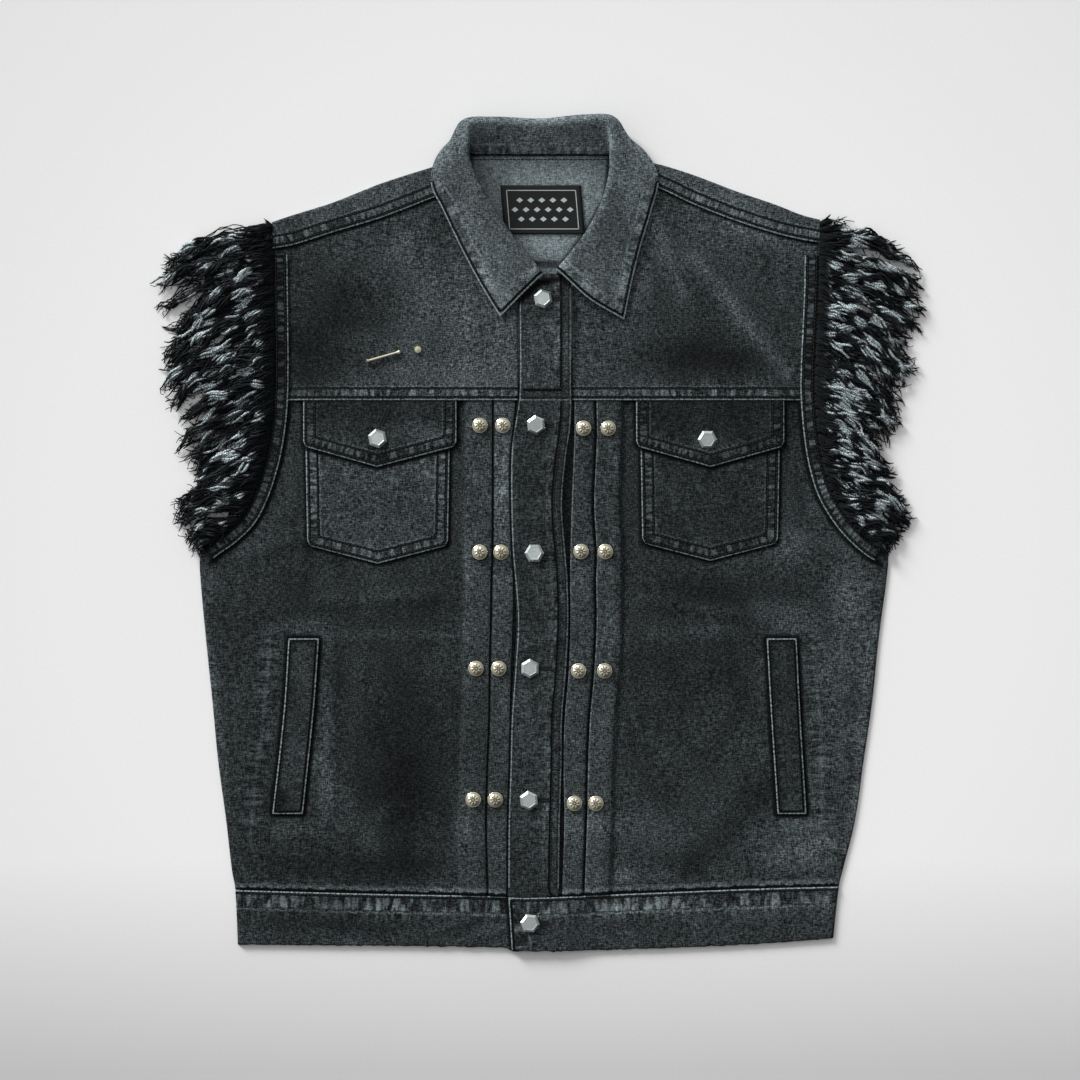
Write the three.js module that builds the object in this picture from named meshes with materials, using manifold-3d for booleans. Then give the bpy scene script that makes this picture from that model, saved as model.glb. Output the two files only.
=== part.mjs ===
// A sleeveless denim vest with pleated fronts and frayed armholes, laid flat on its back on a table.
// Millimetres. +Z is up, off the table; +Y runs from hem to collar; +X is the wearer's left.
// The origin is on the table, under the middle of the vest's length and of its width with the fringes.

import * as THREE from 'three';
import { mergeVertices } from 'three/addons/utils/BufferGeometryUtils.js';
import Module from 'manifold-3d';

const wasm = await Module();
wasm.setup();

// Driving dimensions
const CLOTH = 1.2;            // thickness of the denim
const GAP = 0.3;              // air at a seam and between layers that lie on each other
const STEP = CLOTH + GAP;     // from one layer of cloth to the next
const DOUBLE = 2 * CLOTH;     // plackets and waistbands are folded double
const COLLAR_CLOTH = 2.0;     // the collar is two layers fused together

const HEM_Y = -310;           // where the fronts meet the waistband
const YOKE_Y = 114;           // where the fronts meet the front yokes
const BACK_YOKE_Y = 150;      // where the back meets the back yoke
const BACK_NECK_Y = 325;      // back neck seam
const BAND_DEPTH = 49;        // waistband, from seam to raw hem
const SHOULDER_LAP = 10;      // the front yoke runs this far under the back yoke's turned-over edge
const PLEAT_DEPTH = 19.2;     // how far the outer pleat is tucked under
const PLEAT_PITCH = 4.6;      // from one fold edge to where the next pleat starts
const ARMHOLE_BAND = 13;      // stitched-down seam allowance along the armhole
const BUTTON_R = 8.6;         // six-sided jeans button, centre to corner
const STUD_R = 7;             // domed stud

// Middle height of layer k: 0 is the back, 1 the front, 2 and 3 the tucked pleats or a pocket and its flap.
const layer = (k) => CLOTH / 2 + k * STEP;

// Small helpers
const clamp01 = (t) => Math.min(1, Math.max(0, t));
const smooth = (t) => clamp01(t) ** 2 * (3 - 2 * clamp01(t));
const mix = (a, b, t) => a + (b - a) * t;
const range = (n) => Array.from({ length: n + 1 }, (_, i) => i / n);

// Reads one column of a table that is sorted by another column, with a smooth curve between its rows.
function column(table, by, name) {
  const rows = [...table].sort((p, q) => p[by] - q[by]);
  return (at) => {
    const last = rows.length - 1;
    const i = Math.min(last - 1, Math.max(0, rows.findIndex((r) => r[by] > at) - 1));
    const k = at >= rows[last][by] ? last - 1 : i;
    const [a, b] = [rows[k], rows[k + 1]];
    return mix(a[name], b[name], clamp01((at - a[by]) / (b[by] - a[by])));
  };
}

// The two side outlines, from armpit to waistband. right is the wearer's right, at -X.
const SIDES = [
  { y: -17, right: -295.5, left: 303 },
  { y: -32, right: -296, left: 302.5 },
  { y: -94, right: -290.5, left: 294.5 },
  { y: -147, right: -285, left: 289 },
  { y: -199, right: -280, left: 281.5 },
  { y: -251, right: -273, left: 274 },
  { y: -293, right: -268, left: 264 },
  { y: -310, right: -265, left: 260 },
  { y: -364, right: -262.5, left: 254.5 },
];

// The armhole edges, from shoulder tip to armpit.
const ARMHOLES = [
  { y: 268, right: -233, left: 243.5 },
  { y: 208, right: -232, left: 242.5 },
  { y: 129, right: -231.5, left: 239.3 },
  { y: 99, right: -233.2, left: 240.8 },
  { y: 72, right: -237.2, left: 244 },
  { y: 52, right: -242.2, left: 248.3 },
  { y: 34, right: -248.4, left: 254.6 },
  { y: 15, right: -258, left: 266 },
  { y: 1, right: -272, left: 278 },
  { y: -11, right: -289, left: 292 },
  { y: -17, right: -295.5, left: 303 },
];

// The top outline of each shoulder and the edge of the back yoke where it is turned over onto the front.
const SHOULDERS = [
  { x: -233, top: 269, seam: 246 },
  { x: -215, top: 275, seam: 249 },
  { x: -180, top: 286, seam: 260 },
  { x: -137, top: 303, seam: 273 },
  { x: -93, top: 317, seam: 290 },
  { x: -70, top: 324, seam: 299 },
  { x: 72, top: 325, seam: 309 },
  { x: 102, top: 319.5, seam: 299 },
  { x: 133, top: 310, seam: 284.5 },
  { x: 170, top: 296, seam: 270 },
  { x: 205, top: 284, seam: 259 },
  { x: 228, top: 275, seam: 253.5 },
  { x: 243.5, top: 271, seam: 251 },
];

// The front necklines, hidden under the collar.
const NECKLINES = [
  { x: -74, top: 311 },
  { x: -66, top: 296 },
  { x: -42, top: 258 },
  { x: -19, top: 231 },
  { x: 27, top: 229 },
  { x: 47, top: 250 },
  { x: 68, top: 292 },
  { x: 76, top: 316 },
];

// Lines that run down the fronts. outer1 and outer2 are the fold edges of the two pleats on the wearer's right,
// inner1 and inner2 those on the left; edge and seam are the two sides of the buttoned placket.
const FRONT_LINES = [
  { y: 224, outer1: -42, outer2: -22.6, edge: -17.8, seam: 27, inner1: 30, inner2: 49.6 },
  { y: 127, outer1: -42, outer2: -22.6, edge: -17.2, seam: 27, inner1: 30, inner2: 49.4 },
  { y: 110, outer1: -42, outer2: -21.8, edge: -18.5, seam: 27.2, inner1: 30, inner2: 49.2 },
  { y: 88, outer1: -42, outer2: -24, edge: -22.2, seam: 26, inner1: 30, inner2: 49.6 },
  { y: 66, outer1: -42, outer2: -26.4, edge: -24.6, seam: 22.6, inner1: 29.4, inner2: 48.9 },
  { y: 23, outer1: -42, outer2: -26.6, edge: -24.8, seam: 19.1, inner1: 27.6, inner2: 47.2 },
  { y: -20, outer1: -42.4, outer2: -25.1, edge: -23.3, seam: 22.2, inner1: 26.5, inner2: 49.6 },
  { y: -42, outer1: -43, outer2: -23.6, edge: -21.3, seam: 23.9, inner1: 26.1, inner2: 48.9 },
  { y: -77, outer1: -43.6, outer2: -23.9, edge: -19, seam: 24.6, inner1: 26.4, inner2: 49.4 },
  { y: -120, outer1: -44.6, outer2: -25.4, edge: -21.3, seam: 22.6, inner1: 25, inner2: 47.4 },
  { y: -164, outer1: -45.2, outer2: -26.4, edge: -24.4, seam: 19.1, inner1: 21.3, inner2: 43.5 },
  { y: -207, outer1: -46.8, outer2: -27.4, edge: -25.5, seam: 18.5, inner1: 20.4, inner2: 41.8 },
  { y: -251, outer1: -47.9, outer2: -29, edge: -27, seam: 17.2, inner1: 21.2, inner2: 41 },
  { y: -310, outer1: -46.5, outer2: -29.2, edge: -27.4, seam: 16.3, inner1: 19.1, inner2: 38.7 },
];

// The largest soft folds of the fronts: ridges from one point to another, with their half width and height.
const FOLDS = [
  { x0: -150, y0: -128, x1: -95, y1: -290, half: 34, high: 2.6 },
  { x0: -225, y0: -70, x1: -120, y1: -66, half: 26, high: 2.0 },
  { x0: 95, y0: -95, x1: 205, y1: -70, half: 30, high: 2.2 },
  { x0: 120, y0: -270, x1: 195, y1: -215, half: 30, high: 2.4 },
  { x0: -165, y0: 215, x1: -95, y1: 185, half: 34, high: 2.4 },
  { x0: 120, y0: 225, x1: 170, y1: 165, half: 34, high: 2.6 },
  { x0: -190, y0: 60, x1: -80, y1: 30, half: 60, high: 1.6 },
  { x0: 190, y0: 60, x1: 90, y1: 30, half: 60, high: 1.6 },
];

// How far the waist seam sags below its ends, and the raw hem below its own.
const WAIST_SAG = [
  { x: -263, sag: 1.5 }, { x: -152, sag: 4.6 }, { x: -40, sag: 6.8 }, { x: -12, sag: 8 }, { x: 93, sag: 4.1 },
  { x: 182, sag: 0.5 }, { x: 256, sag: -1.5 },
];
const HEM_DROP = [
  { x: -263, drop: 0 }, { x: -30, drop: 2.6 }, { x: -24, drop: 5.6 }, { x: 60, drop: 4.6 }, { x: 180, drop: 0 },
  { x: 256, drop: -5.5 },
];
const waistSagAt = column(WAIST_SAG, 'x', 'sag');
const hemDrop = column(HEM_DROP, 'x', 'drop');
const SAG_REACH = 60;         // the sag fades out this far above the seam

const sideOf = { right: column(SIDES, 'y', 'right'), left: column(SIDES, 'y', 'left') };
const armholeOf = { right: column(ARMHOLES, 'y', 'right'), left: column(ARMHOLES, 'y', 'left') };
const armpitY = ARMHOLES.at(-1).y;
const outlineOf = (side, y) => (y > armpitY ? armholeOf : sideOf)[side](y);
const shoulderTop = column(SHOULDERS, 'x', 'top');
const shoulderSeam = column(SHOULDERS, 'x', 'seam');
const neckline = column(NECKLINES, 'x', 'top');
const lineOf = Object.fromEntries(
  Object.keys(FRONT_LINES[0]).map((name) => [name, column(FRONT_LINES, 'y', name)]),
);

// How far the front cloth stands off its flat layer at a point, from the soft folds; nothing at the outline.
function lift(x, y) {
  const side = x < 0 ? 'right' : 'left';
  const fromSide = Math.abs(outlineOf(side, y) - x);
  const fromTop = shoulderSeam(x) - y - SHOULDER_LAP;
  const fromNeck = Math.hypot(x, y - 270) - 95;
  const fromWelt = Math.hypot(Math.max(0, 190 - Math.abs(x), Math.abs(x) - 235), Math.max(0, -252 - y, y + 86));
  const calm = smooth((fromSide - 12) / 30) * smooth((y - HEM_Y - 6) / 30) * smooth(fromTop / 30) *
    smooth(fromNeck / 30) * smooth(fromWelt / 40);
  let high = 0;
  for (const f of FOLDS) {
    const [dx, dy] = [f.x1 - f.x0, f.y1 - f.y0];
    const along = clamp01(((x - f.x0) * dx + (y - f.y0) * dy) / (dx * dx + dy * dy));
    const off = Math.hypot(x - f.x0 - along * dx, y - f.y0 - along * dy) / f.half;
    high += f.high * Math.exp(-off * off);
  }
  return calm * high;
}

// Where a point of the fronts lies once the waist seam has sagged.
function settled(x, y) {
  return y - waistSagAt(x) * smooth(1 - (y - HEM_Y) / SAG_REACH);
}

// A sheet of cloth with thickness: rows of points on its middle surface, moved out both ways along the normals.
// keep says which cells of the grid have cloth, and every open edge gets a rim.
function cloth(rows, thickness = CLOTH, keep = () => true) {
  const [nv, nu] = [rows.length, rows[0].length];
  const at = (i, j) => rows[Math.min(nv - 1, Math.max(0, j))][Math.min(nu - 1, Math.max(0, i))];
  const used = (i, j) => i >= 0 && j >= 0 && i < nu - 1 && j < nv - 1 && keep(i, j);
  const position = [];
  for (const way of [0.5, -0.5]) {
    for (let j = 0; j < nv; j++) {
      for (let i = 0; i < nu; i++) {
        const along = at(i + 1, j).clone().sub(at(i - 1, j)).normalize();
        const across = at(i, j + 1).clone().sub(at(i, j - 1)).normalize();
        const normal = along.cross(across).normalize();
        position.push(...at(i, j).clone().addScaledVector(normal, way * thickness).toArray());
      }
    }
  }
  const top = (i, j) => j * nu + i;
  const low = (i, j) => nu * nv + j * nu + i;
  const index = [];
  const quad = (a, b, c, d) => index.push(a, b, c, a, c, d);
  for (let j = 0; j < nv - 1; j++) {
    for (let i = 0; i < nu - 1; i++) {
      if (!used(i, j)) continue;
      quad(top(i, j), top(i + 1, j), top(i + 1, j + 1), top(i, j + 1));
      quad(low(i, j), low(i, j + 1), low(i + 1, j + 1), low(i + 1, j));
      const corners = [[i, j], [i + 1, j], [i + 1, j + 1], [i, j + 1]];
      const beside = [[i, j - 1], [i + 1, j], [i, j + 1], [i - 1, j]];
      beside.forEach(([bi, bj], k) => {
        if (used(bi, bj)) return;
        const [p, q] = [corners[k], corners[(k + 1) % 4]];
        quad(top(...p), low(...p), low(...q), top(...q));
      });
    }
  }
  const raw = new THREE.BufferGeometry();
  raw.setAttribute('position', new THREE.Float32BufferAttribute(position, 3));
  raw.setIndex(index);
  return facingOut(mergeVertices(raw.toNonIndexed(), 1e-4));
}

// Turns every face round when a closed shape's faces point inwards.
function facingOut(geometry) {
  const [p, index] = [geometry.attributes.position, geometry.index.array];
  const [a, b, c] = [0, 1, 2].map(() => new THREE.Vector3());
  let volume = 0;
  for (let k = 0; k < index.length; k += 3) {
    a.fromBufferAttribute(p, index[k]);
    b.fromBufferAttribute(p, index[k + 1]);
    c.fromBufferAttribute(p, index[k + 2]);
    volume += a.dot(b.cross(c));
  }
  if (volume < 0) {
    for (let k = 0; k < index.length; k += 3) [index[k + 1], index[k + 2]] = [index[k + 2], index[k + 1]];
  }
  return geometry;
}

const group = new THREE.Group();
const FINISH = {
  denim: { color: 0x2c3032, roughness: 0.9, metalness: 0 },
  inside: { color: 0x5f6a6c, roughness: 0.9, metalness: 0 },
  collar: { color: 0x4d5457, roughness: 0.9, metalness: 0 },
  yarn: { color: 0x23282a, roughness: 1, metalness: 0 },
  zinc: { color: 0xa9b3b3, roughness: 0.4, metalness: 1 },
  silver: { color: 0xb9b6a0, roughness: 0.35, metalness: 1 },
  label: { color: 0x15181a, roughness: 0.8, metalness: 0 },
};

function add(name, geometry, finish, position = [0, 0, 0], turn = 0) {
  const mesh = new THREE.Mesh(geometry, new THREE.MeshStandardMaterial(FINISH[finish]));
  mesh.name = name;
  mesh.position.set(...position);
  mesh.rotation.z = turn;
  group.add(mesh);
}

// Moves the columns of a yoke in or out, so that its outer edge keeps to the armhole.
function alongArmhole(x, y) {
  const side = x < 0 ? 'right' : 'left';
  return x * armholeOf[side](y) / ARMHOLES[0][side];
}

// A sheet between a left and a right line, in rows up the garment.
function rowsBetween(levels, from, to, across, height) {
  return levels.map((y) => across.map((u) => {
    const x = mix(from(y), to(y), u);
    return new THREE.Vector3(x, y, height(x, y));
  }));
}

// A sheet between a lower and an upper line, in columns across the garment.
function columnsBetween(places, from, to, up, height) {
  return up.map((v) => places.map((x) => {
    const y = mix(from(x), to(x), v);
    const at = y > YOKE_Y - GAP ? alongArmhole(x, y) : x;
    return new THREE.Vector3(at, y, height(at, y));
  }));
}

// Back: flat on the table, just inside the fronts' turned sides
const SIDE_INSET = 2.1;       // at the side seams the back stays this far inside the outline
const BAND_INSET = 3.2;       // and so does the back waistband
const SIDE_LEVELS = [HEM_Y + GAP, -280, -252, -205, -150, -86, -50, -30];
const ARM_LEVELS = [-17, -11, 1, 15, 34, 52, 72, 99];
const backInset = (y) => mix(SIDE_INSET, 0, smooth((y - armpitY) / 8));

add('back_panel', cloth(rowsBetween(
  [...SIDE_LEVELS, ...ARM_LEVELS, 129, BACK_YOKE_Y - GAP],
  (y) => outlineOf('right', y) + backInset(y),
  (y) => outlineOf('left', y) - backInset(y),
  range(2),
  () => layer(0),
)), 'denim');

const backBand = rowsBetween(
  [HEM_Y - BAND_DEPTH, HEM_Y],
  (y) => sideOf.right(y) + BAND_INSET,
  (y) => sideOf.left(y) - BAND_INSET,
  range(4),
  () => layer(0),
);
for (const p of backBand[0]) p.y -= Math.min(0, hemDrop(p.x));   // its hem stays hidden where the front's rises
add('back_waistband', cloth(backBand), 'denim');

// Back yoke: it turns over both shoulders onto the front and is stitched down there
const SHOULDER_BEND = 1.5;   // from the back's layer up to layer 2
function backYokeColumn(x, hasLap) {
  const low = [0, 0.35, 0.7];
  if (!hasLap) {
    const flat = [...low, 1].map((v) => [mix(BACK_YOKE_Y, BACK_NECK_Y - GAP, v), layer(0)]);
    return [...flat, ...Array(5).fill(flat.at(-1))];
  }
  const bendY = shoulderTop(x) - CLOTH / 2 - SHOULDER_BEND;
  const flat = low.map((v) => [mix(BACK_YOKE_Y, bendY, v), layer(0)]);
  const bend = range(4).map((t) => {
    const angle = (t - 0.5) * Math.PI;
    return [bendY + SHOULDER_BEND * Math.cos(angle), layer(1) + SHOULDER_BEND * Math.sin(angle)];
  });
  return [...flat, ...bend, [shoulderSeam(x), layer(2)]];
}
const YOKE_PLACES = [
  -233, -215, -198, -180, -158, -137, -115, -93, -70, -64, -30, 5, 40, 66, 72, 87, 102, 117, 133, 151, 170, 188,
  205, 228, 243.5,
];
const lapAt = (x) => x <= -70 || x >= 72;
const yokeColumns = YOKE_PLACES.map((x) =>
  backYokeColumn(x, lapAt(x)).map(([y, z]) => new THREE.Vector3(alongArmhole(x, y), y, z)));
const yokeRows = yokeColumns[0].map((_, j) => yokeColumns.map((points) => points[j]));
add('back_yoke', cloth(yokeRows, CLOTH, (i, j) => j < 3 || (lapAt(YOKE_PLACES[i]) && lapAt(YOKE_PLACES[i + 1]))),
  'denim');

// Front yokes: their lower edge rises to the height of the pleats and flaps that they hold
const YOKE_LEVELS = [0, 0.06, 0.14, 0.3, 0.6, 0.86, 1];
function yokeHeight(x, y) {
  const fromArmhole = Math.abs(outlineOf(x < 0 ? 'right' : 'left', y) - x);
  const overPleats = smooth((fromArmhole - 10) / 20) * smooth(1 - (y - YOKE_Y) / 40);
  return layer(1) + lift(x, y) + overPleats * 2 * STEP;
}
function yokeTop(x) {
  const underLap = shoulderSeam(x) + SHOULDER_LAP;
  return x > NECKLINES[0].x && x < NECKLINES.at(-1).x ? Math.min(underLap, neckline(x)) : underLap;
}
add('front_yoke_right', cloth(columnsBetween(
  [-233, -222, -205, -180, -158, -137, -115, -93, -74, -66, -54, -42, -30, -19.5],
  () => YOKE_Y, yokeTop, YOKE_LEVELS, yokeHeight,
)), 'denim');
add('front_yoke_left', cloth(columnsBetween(
  [28.5, 38, 47, 58, 68, 76, 87, 102, 117, 133, 151, 170, 188, 205, 222, 233, 243.5],
  () => YOKE_Y, yokeTop, YOKE_LEVELS, yokeHeight,
)), 'denim');

// Fronts: one sheet each, with two knife pleats folded towards the placket and its side turned down to the table.
// Between the side and the pleats it has five columns: below the armhole at x, above it at a share t of the width.
const PLAIN_COLUMNS = [
  { t: 0.1, x: 250 },
  { t: 0.22, x: 236 },
  { t: 0.42, x: 189 },
  { t: 0.62, x: 150 },
  { t: 0.82, x: 108 },
];
function frontSection(y, side) {
  const way = side === 'right' ? 1 : -1;       // which way the placket lies
  const [fold1, fold2] = side === 'right'
    ? [lineOf.outer1(y), lineOf.outer2(y)]
    : [lineOf.inner2(y), lineOf.inner1(y)];
  const outer = outlineOf(side, y);
  const turned = 1 - smooth((y - armpitY + 5) / 8);   // 1 at the side seam, 0 at the armhole
  const bend = STEP / 2 + 0.75;                        // radius of the turned side
  const points = [];
  const put = (x, z) => points.push(new THREE.Vector3(x, settled(x, y), z + lift(x, y)));
  const edge = outer + way * CLOTH / 2 * turned;
  put(mix(outer, edge, turned), mix(layer(1), 0.2, turned));
  for (const angle of [0, 45, 90]) {
    const [c, s] = [Math.cos(THREE.MathUtils.degToRad(angle)), Math.sin(THREE.MathUtils.degToRad(angle))];
    const flatX = outer + way * (0.8 + angle / 40);
    put(mix(flatX, edge + way * bend * (1 - c), turned), mix(layer(1), layer(1) - bend * (1 - s), turned));
  }
  const tuck1 = fold1 - way * PLEAT_DEPTH;
  const tuck2 = fold1 + way * PLEAT_PITCH;
  const plainStart = points.at(-1).x;
  for (const { t, x } of PLAIN_COLUMNS) {
    put(mix(-way * x, mix(plainStart, tuck1 - way * 4, t), smooth((y + 80) / 60)), layer(1));
  }
  put(tuck1 - way * 4, layer(1));
  pleat(put, way, tuck1 - way * 0.9, tuck1, fold1);
  put(fold1 + way * 0.9, layer(1));
  pleat(put, way, fold1 + way * 3.6, tuck2, fold2);
  if (side === 'right') {
    put(lineOf.edge(y) - 1.8, layer(1));
  } else {
    put(fold2 - 0.5, layer(1));
    put(lineOf.seam(y) - 1, layer(1) + CLOTH);
    put(lineOf.seam(y) - 8, layer(1) + CLOTH);
  }
  return side === 'right' ? points : points.reverse();
}

// One knife pleat: over the top to its fold edge, back underneath to the tuck, and forward again.
function pleat(put, way, start, tuck, fold) {
  const bend = STEP / 2;
  put(start, layer(3));
  put(fold - way * (CLOTH / 2 + bend), layer(3));
  put(fold - way * CLOTH / 2, layer(2.5));
  put(fold - way * (CLOTH / 2 + bend), layer(2));
  put(tuck + way * (CLOTH / 2 + bend), layer(2));
  put(tuck + way * CLOTH / 2, layer(1.5));
  put(tuck + way * (CLOTH / 2 + bend), layer(1));
}
const FRONT_LEVELS = [...SIDE_LEVELS, ...ARM_LEVELS, YOKE_Y - GAP];
for (const side of ['right', 'left']) {
  add('front_' + side, cloth(FRONT_LEVELS.map((y) => frontSection(y, side))), 'denim');
}

// Plackets: the left one lies on top and is buttoned over the right one
const PLACKET_LEVELS = [...FRONT_LEVELS, 127, 175, 224];
const placketHeight = (base) => (x, y) => base + lift(x, y);
const PLACKET_LOW = CLOTH + GAP + DOUBLE / 2;
const PLACKET_TOP = PLACKET_LOW + DOUBLE + GAP;
function placket(name, from, to, across, base) {
  const rows = rowsBetween(PLACKET_LEVELS, from, to, across, placketHeight(base));
  for (const p of rows.flat()) p.y = settled(p.x, p.y);
  add(name, cloth(rows, DOUBLE), 'denim');
}
placket('placket_right', (y) => lineOf.edge(y) - 1.5, (y) => lineOf.edge(y) + 28, range(1), PLACKET_LOW);
placket('placket_left', lineOf.edge, lineOf.seam, range(3), PLACKET_TOP);

// Waistbands: the left front's end lies on the right one's
const BAND_Y = HEM_Y - GAP;
const BAND_CLOTH = 1.6;       // the two layers are pressed together
const bandLevels = [HEM_Y - BAND_DEPTH, HEM_Y - 30, BAND_Y];
function bandRight(y) {
  const outer = sideOf.right(y);
  return [
    [outer + 0.6, 0.2], [outer + 0.9, 1.6], [outer + 2.6, PLACKET_LOW], [-200, PLACKET_LOW], [-140, PLACKET_LOW],
    [-80, PLACKET_LOW], [lineOf.edge(HEM_Y) + 28, PLACKET_LOW],
  ];
}
function bandLeft(y) {
  const outer = sideOf.left(y);
  const front = lineOf.edge(HEM_Y) + mix(0, 3, (HEM_Y - y) / BAND_DEPTH);
  return [
    [front, PLACKET_TOP], [-12, PLACKET_TOP], [6, PLACKET_TOP], [18, PLACKET_TOP - 0.6], [40, PLACKET_LOW + 0.5], [60, PLACKET_LOW],
    [130, PLACKET_LOW], [200, PLACKET_LOW], [outer - 2.6, PLACKET_LOW], [outer - 0.9, 1.6], [outer - 0.6, 0.2],
  ];
}
function bandRows(section) {
  return bandLevels.map((y) => section(y).map(([x, z]) => {
    const down = mix(waistSagAt(x), hemDrop(x), (BAND_Y - y) / BAND_DEPTH);
    return new THREE.Vector3(x, y - down, z);
  }));
}
add('waistband_right', cloth(bandRows(bandRight), BAND_CLOTH), 'denim');
add('waistband_left', cloth(bandRows(bandLeft), BAND_CLOTH), 'denim');

// Collar: sections round the neck, each from the neck seam over the roll line to the outer edge.
// Each place has x, y and z of the neck seam (n), the roll (r), the middle of the fall (m) and its edge (e).
const COLLAR = [
  { nx: 0, ny: 218.5, nz: 8.4, rx: 2.6, ry: 223, rz: 10.5, mx: -17, my: 204.5, mz: 9.4, ex: -34.5, ey: 186.6, ez: 4.6 },
  { nx: -18, ny: 236, nz: 6, rx: -14, ry: 243, rz: 14, mx: -34, my: 227, mz: 11.5, ex: -52.5, ey: 216.5, ez: 4.6 },
  { nx: -38, ny: 260, nz: 4.6, rx: -32, ry: 266.5, rz: 18, mx: -52, my: 254, mz: 13, ex: -70, ey: 250, ez: 4.6 },
  { nx: -54, ny: 286, nz: 4.2, rx: -46.5, ry: 289, rz: 21, mx: -67, my: 281, mz: 14.5, ex: -84.5, ey: 280.5, ez: 5.8 },
  { nx: -64, ny: 308, nz: 5, rx: -57, ry: 309, rz: 23, mx: -77.5, my: 304, mz: 15.5, ex: -94, ey: 301, ez: 5.8 },
  { nx: -65, ny: 320, nz: 6, rx: -62.5, ry: 326, rz: 24.5, mx: -79, my: 324, mz: 16, ex: -91, ey: 321.5, ez: 5.4 },
  { nx: -61.5, ny: 326.5, nz: 3.4, rx: -62.5, ry: 341, rz: 25, mx: -75.5, my: 339.5, mz: 15, ex: -79.5, ey: 337, ez: 2.4 },
  { nx: -56, ny: 327, nz: 3, rx: -60, ry: 352.5, rz: 25, mx: -67.5, my: 355, mz: 13, ex: -63, ey: 344, ez: 1.2 },
  { nx: -34, ny: 327, nz: 3, rx: -38, ry: 354, rz: 24.5, mx: -40, my: 357.5, mz: 12, ex: -38, ey: 336, ez: 1.1 },
  { nx: 1, ny: 327, nz: 3, rx: 1, ry: 352.5, rz: 24, mx: 1, my: 356, mz: 12, ex: 1, ey: 334, ez: 1.1 },
  { nx: 34, ny: 327, nz: 3, rx: 37, ry: 355.5, rz: 24.5, mx: 38, my: 359.5, mz: 12, ex: 38, ey: 337, ez: 1.1 },
  { nx: 56, ny: 327, nz: 3, rx: 58.5, ry: 355.5, rz: 25, mx: 65, my: 357.5, mz: 13, ex: 61.5, ey: 346, ez: 1.2 },
  { nx: 63, ny: 327, nz: 3.4, rx: 61.5, ry: 343, rz: 25, mx: 74.5, my: 342, mz: 15, ex: 80, ey: 339, ez: 2.4 },
  { nx: 67, ny: 320, nz: 6, rx: 61.5, ry: 327, rz: 24.5, mx: 81.5, my: 326, mz: 16, ex: 95.5, ey: 323.5, ez: 5.4 },
  { nx: 67, ny: 304, nz: 5, rx: 60, ry: 306, rz: 23, mx: 83, my: 306, mz: 15.5, ex: 102.5, ey: 306, ez: 5.8 },
  { nx: 61, ny: 281, nz: 4.2, rx: 52.5, ry: 281, rz: 21, mx: 74, my: 277, mz: 14.5, ex: 96.5, ey: 279, ez: 5.6 },
  { nx: 46, ny: 253, nz: 4.6, rx: 38, ry: 255, rz: 18, mx: 61.5, my: 245, mz: 13, ex: 87, ey: 247, ez: 4.6 },
  { nx: 30, ny: 233, nz: 6, rx: 24, ry: 237.5, rz: 14, mx: 50, my: 218.5, mz: 11.5, ex: 79, ey: 214, ez: 4.6 },
  { nx: 16, ny: 221.5, nz: 8.4, rx: 14.5, ry: 226.6, rz: 10.5, mx: 42.5, my: 202, mz: 9.4, ex: 73, ey: 184, ez: 4.6 },
];
function collarSection(row) {
  const place = (key) => new THREE.Vector3(row[key + 'x'], row[key + 'y'], row[key + 'z']);
  const curve = new THREE.CatmullRomCurve3([place('n'), place('r'), place('m'), place('e')], false, 'centripetal');
  return [0, 0.14, 0.27, 0.33, 0.4, 0.52, 0.74, 1].map((t) => curve.getPoint(t));
}
const collarStations = COLLAR.map(collarSection);
const collarRound = collarStations[0].map((_, k) =>
  new THREE.CatmullRomCurve3(collarStations.map((points) => points[k]), false, 'centripetal'));
const COLLAR_STEPS = 2 * (COLLAR.length - 1);
const collarRows = range(COLLAR_STEPS).map((t) => collarRound.map((curve) => curve.getPoint(t)));
add('collar', cloth(collarRows, COLLAR_CLOTH), 'collar');

// Neck label, lying on the inside of the back yoke
const label = rowsBetween([258.5, 301], (y) => mix(-31, -34.5, (y - 258.5) / 42.5),
  (y) => mix(39, 35.5, (y - 258.5) / 42.5), range(1), () => layer(1) - 0.1);
add('label', cloth(label, 1), 'label');

// Chest pockets and flaps: pointed at the bottom; the flap hangs from the yoke seam
const POCKETS = {
  right: { x0: -204, x1: -78, middle: -141, topY: 100, cornerY: -12, pointY: -28 },
  left: { x0: 87, x1: 208.5, middle: 148, topY: 100, cornerY: -10, pointY: -25.5 },
};
const FLAPS = {
  right: { x0: -205.5, x1: -72.5, middle: -141.5, topY: YOKE_Y - GAP, cornerY: 74, pointY: 56 },
  left: { x0: 83.5, x1: 212, middle: 148, topY: YOKE_Y - GAP, cornerY: 74, pointY: 56 },
};
function pointed(shape, up, taper, height) {
  const places = [0, 0.17, 0.34, 0.5, 0.66, 0.83, 1].map((u) => mix(shape.x0, shape.x1, u));
  const bottom = (x) => {
    const half = x < shape.middle ? shape.middle - shape.x0 : shape.x1 - shape.middle;
    return mix(shape.pointY, shape.cornerY, Math.abs(x - shape.middle) / half);
  };
  return columnsBetween(places, bottom, () => shape.topY, up, height).map((row, j) => row.map((p) => {
    p.x = mix(shape.middle, p.x, 1 - taper * (1 - up[j]));
    p.z = height(p.x, p.y);
    return p;
  }));
}
const FLAP_CLOTH = 1.8;
for (const side of ['right', 'left']) {
  add('pocket_' + side, cloth(pointed(POCKETS[side], [0, 0.3, 0.65, 1], 0.03,
    (x, y) => layer(2) + lift(x, y))), 'denim');
  add('flap_' + side, cloth(pointed(FLAPS[side], [0, 0.4, 0.75, 1], 0,
    (x, y) => layer(3) + 0.3 + lift(x, y)), FLAP_CLOTH), 'denim');
}

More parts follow.
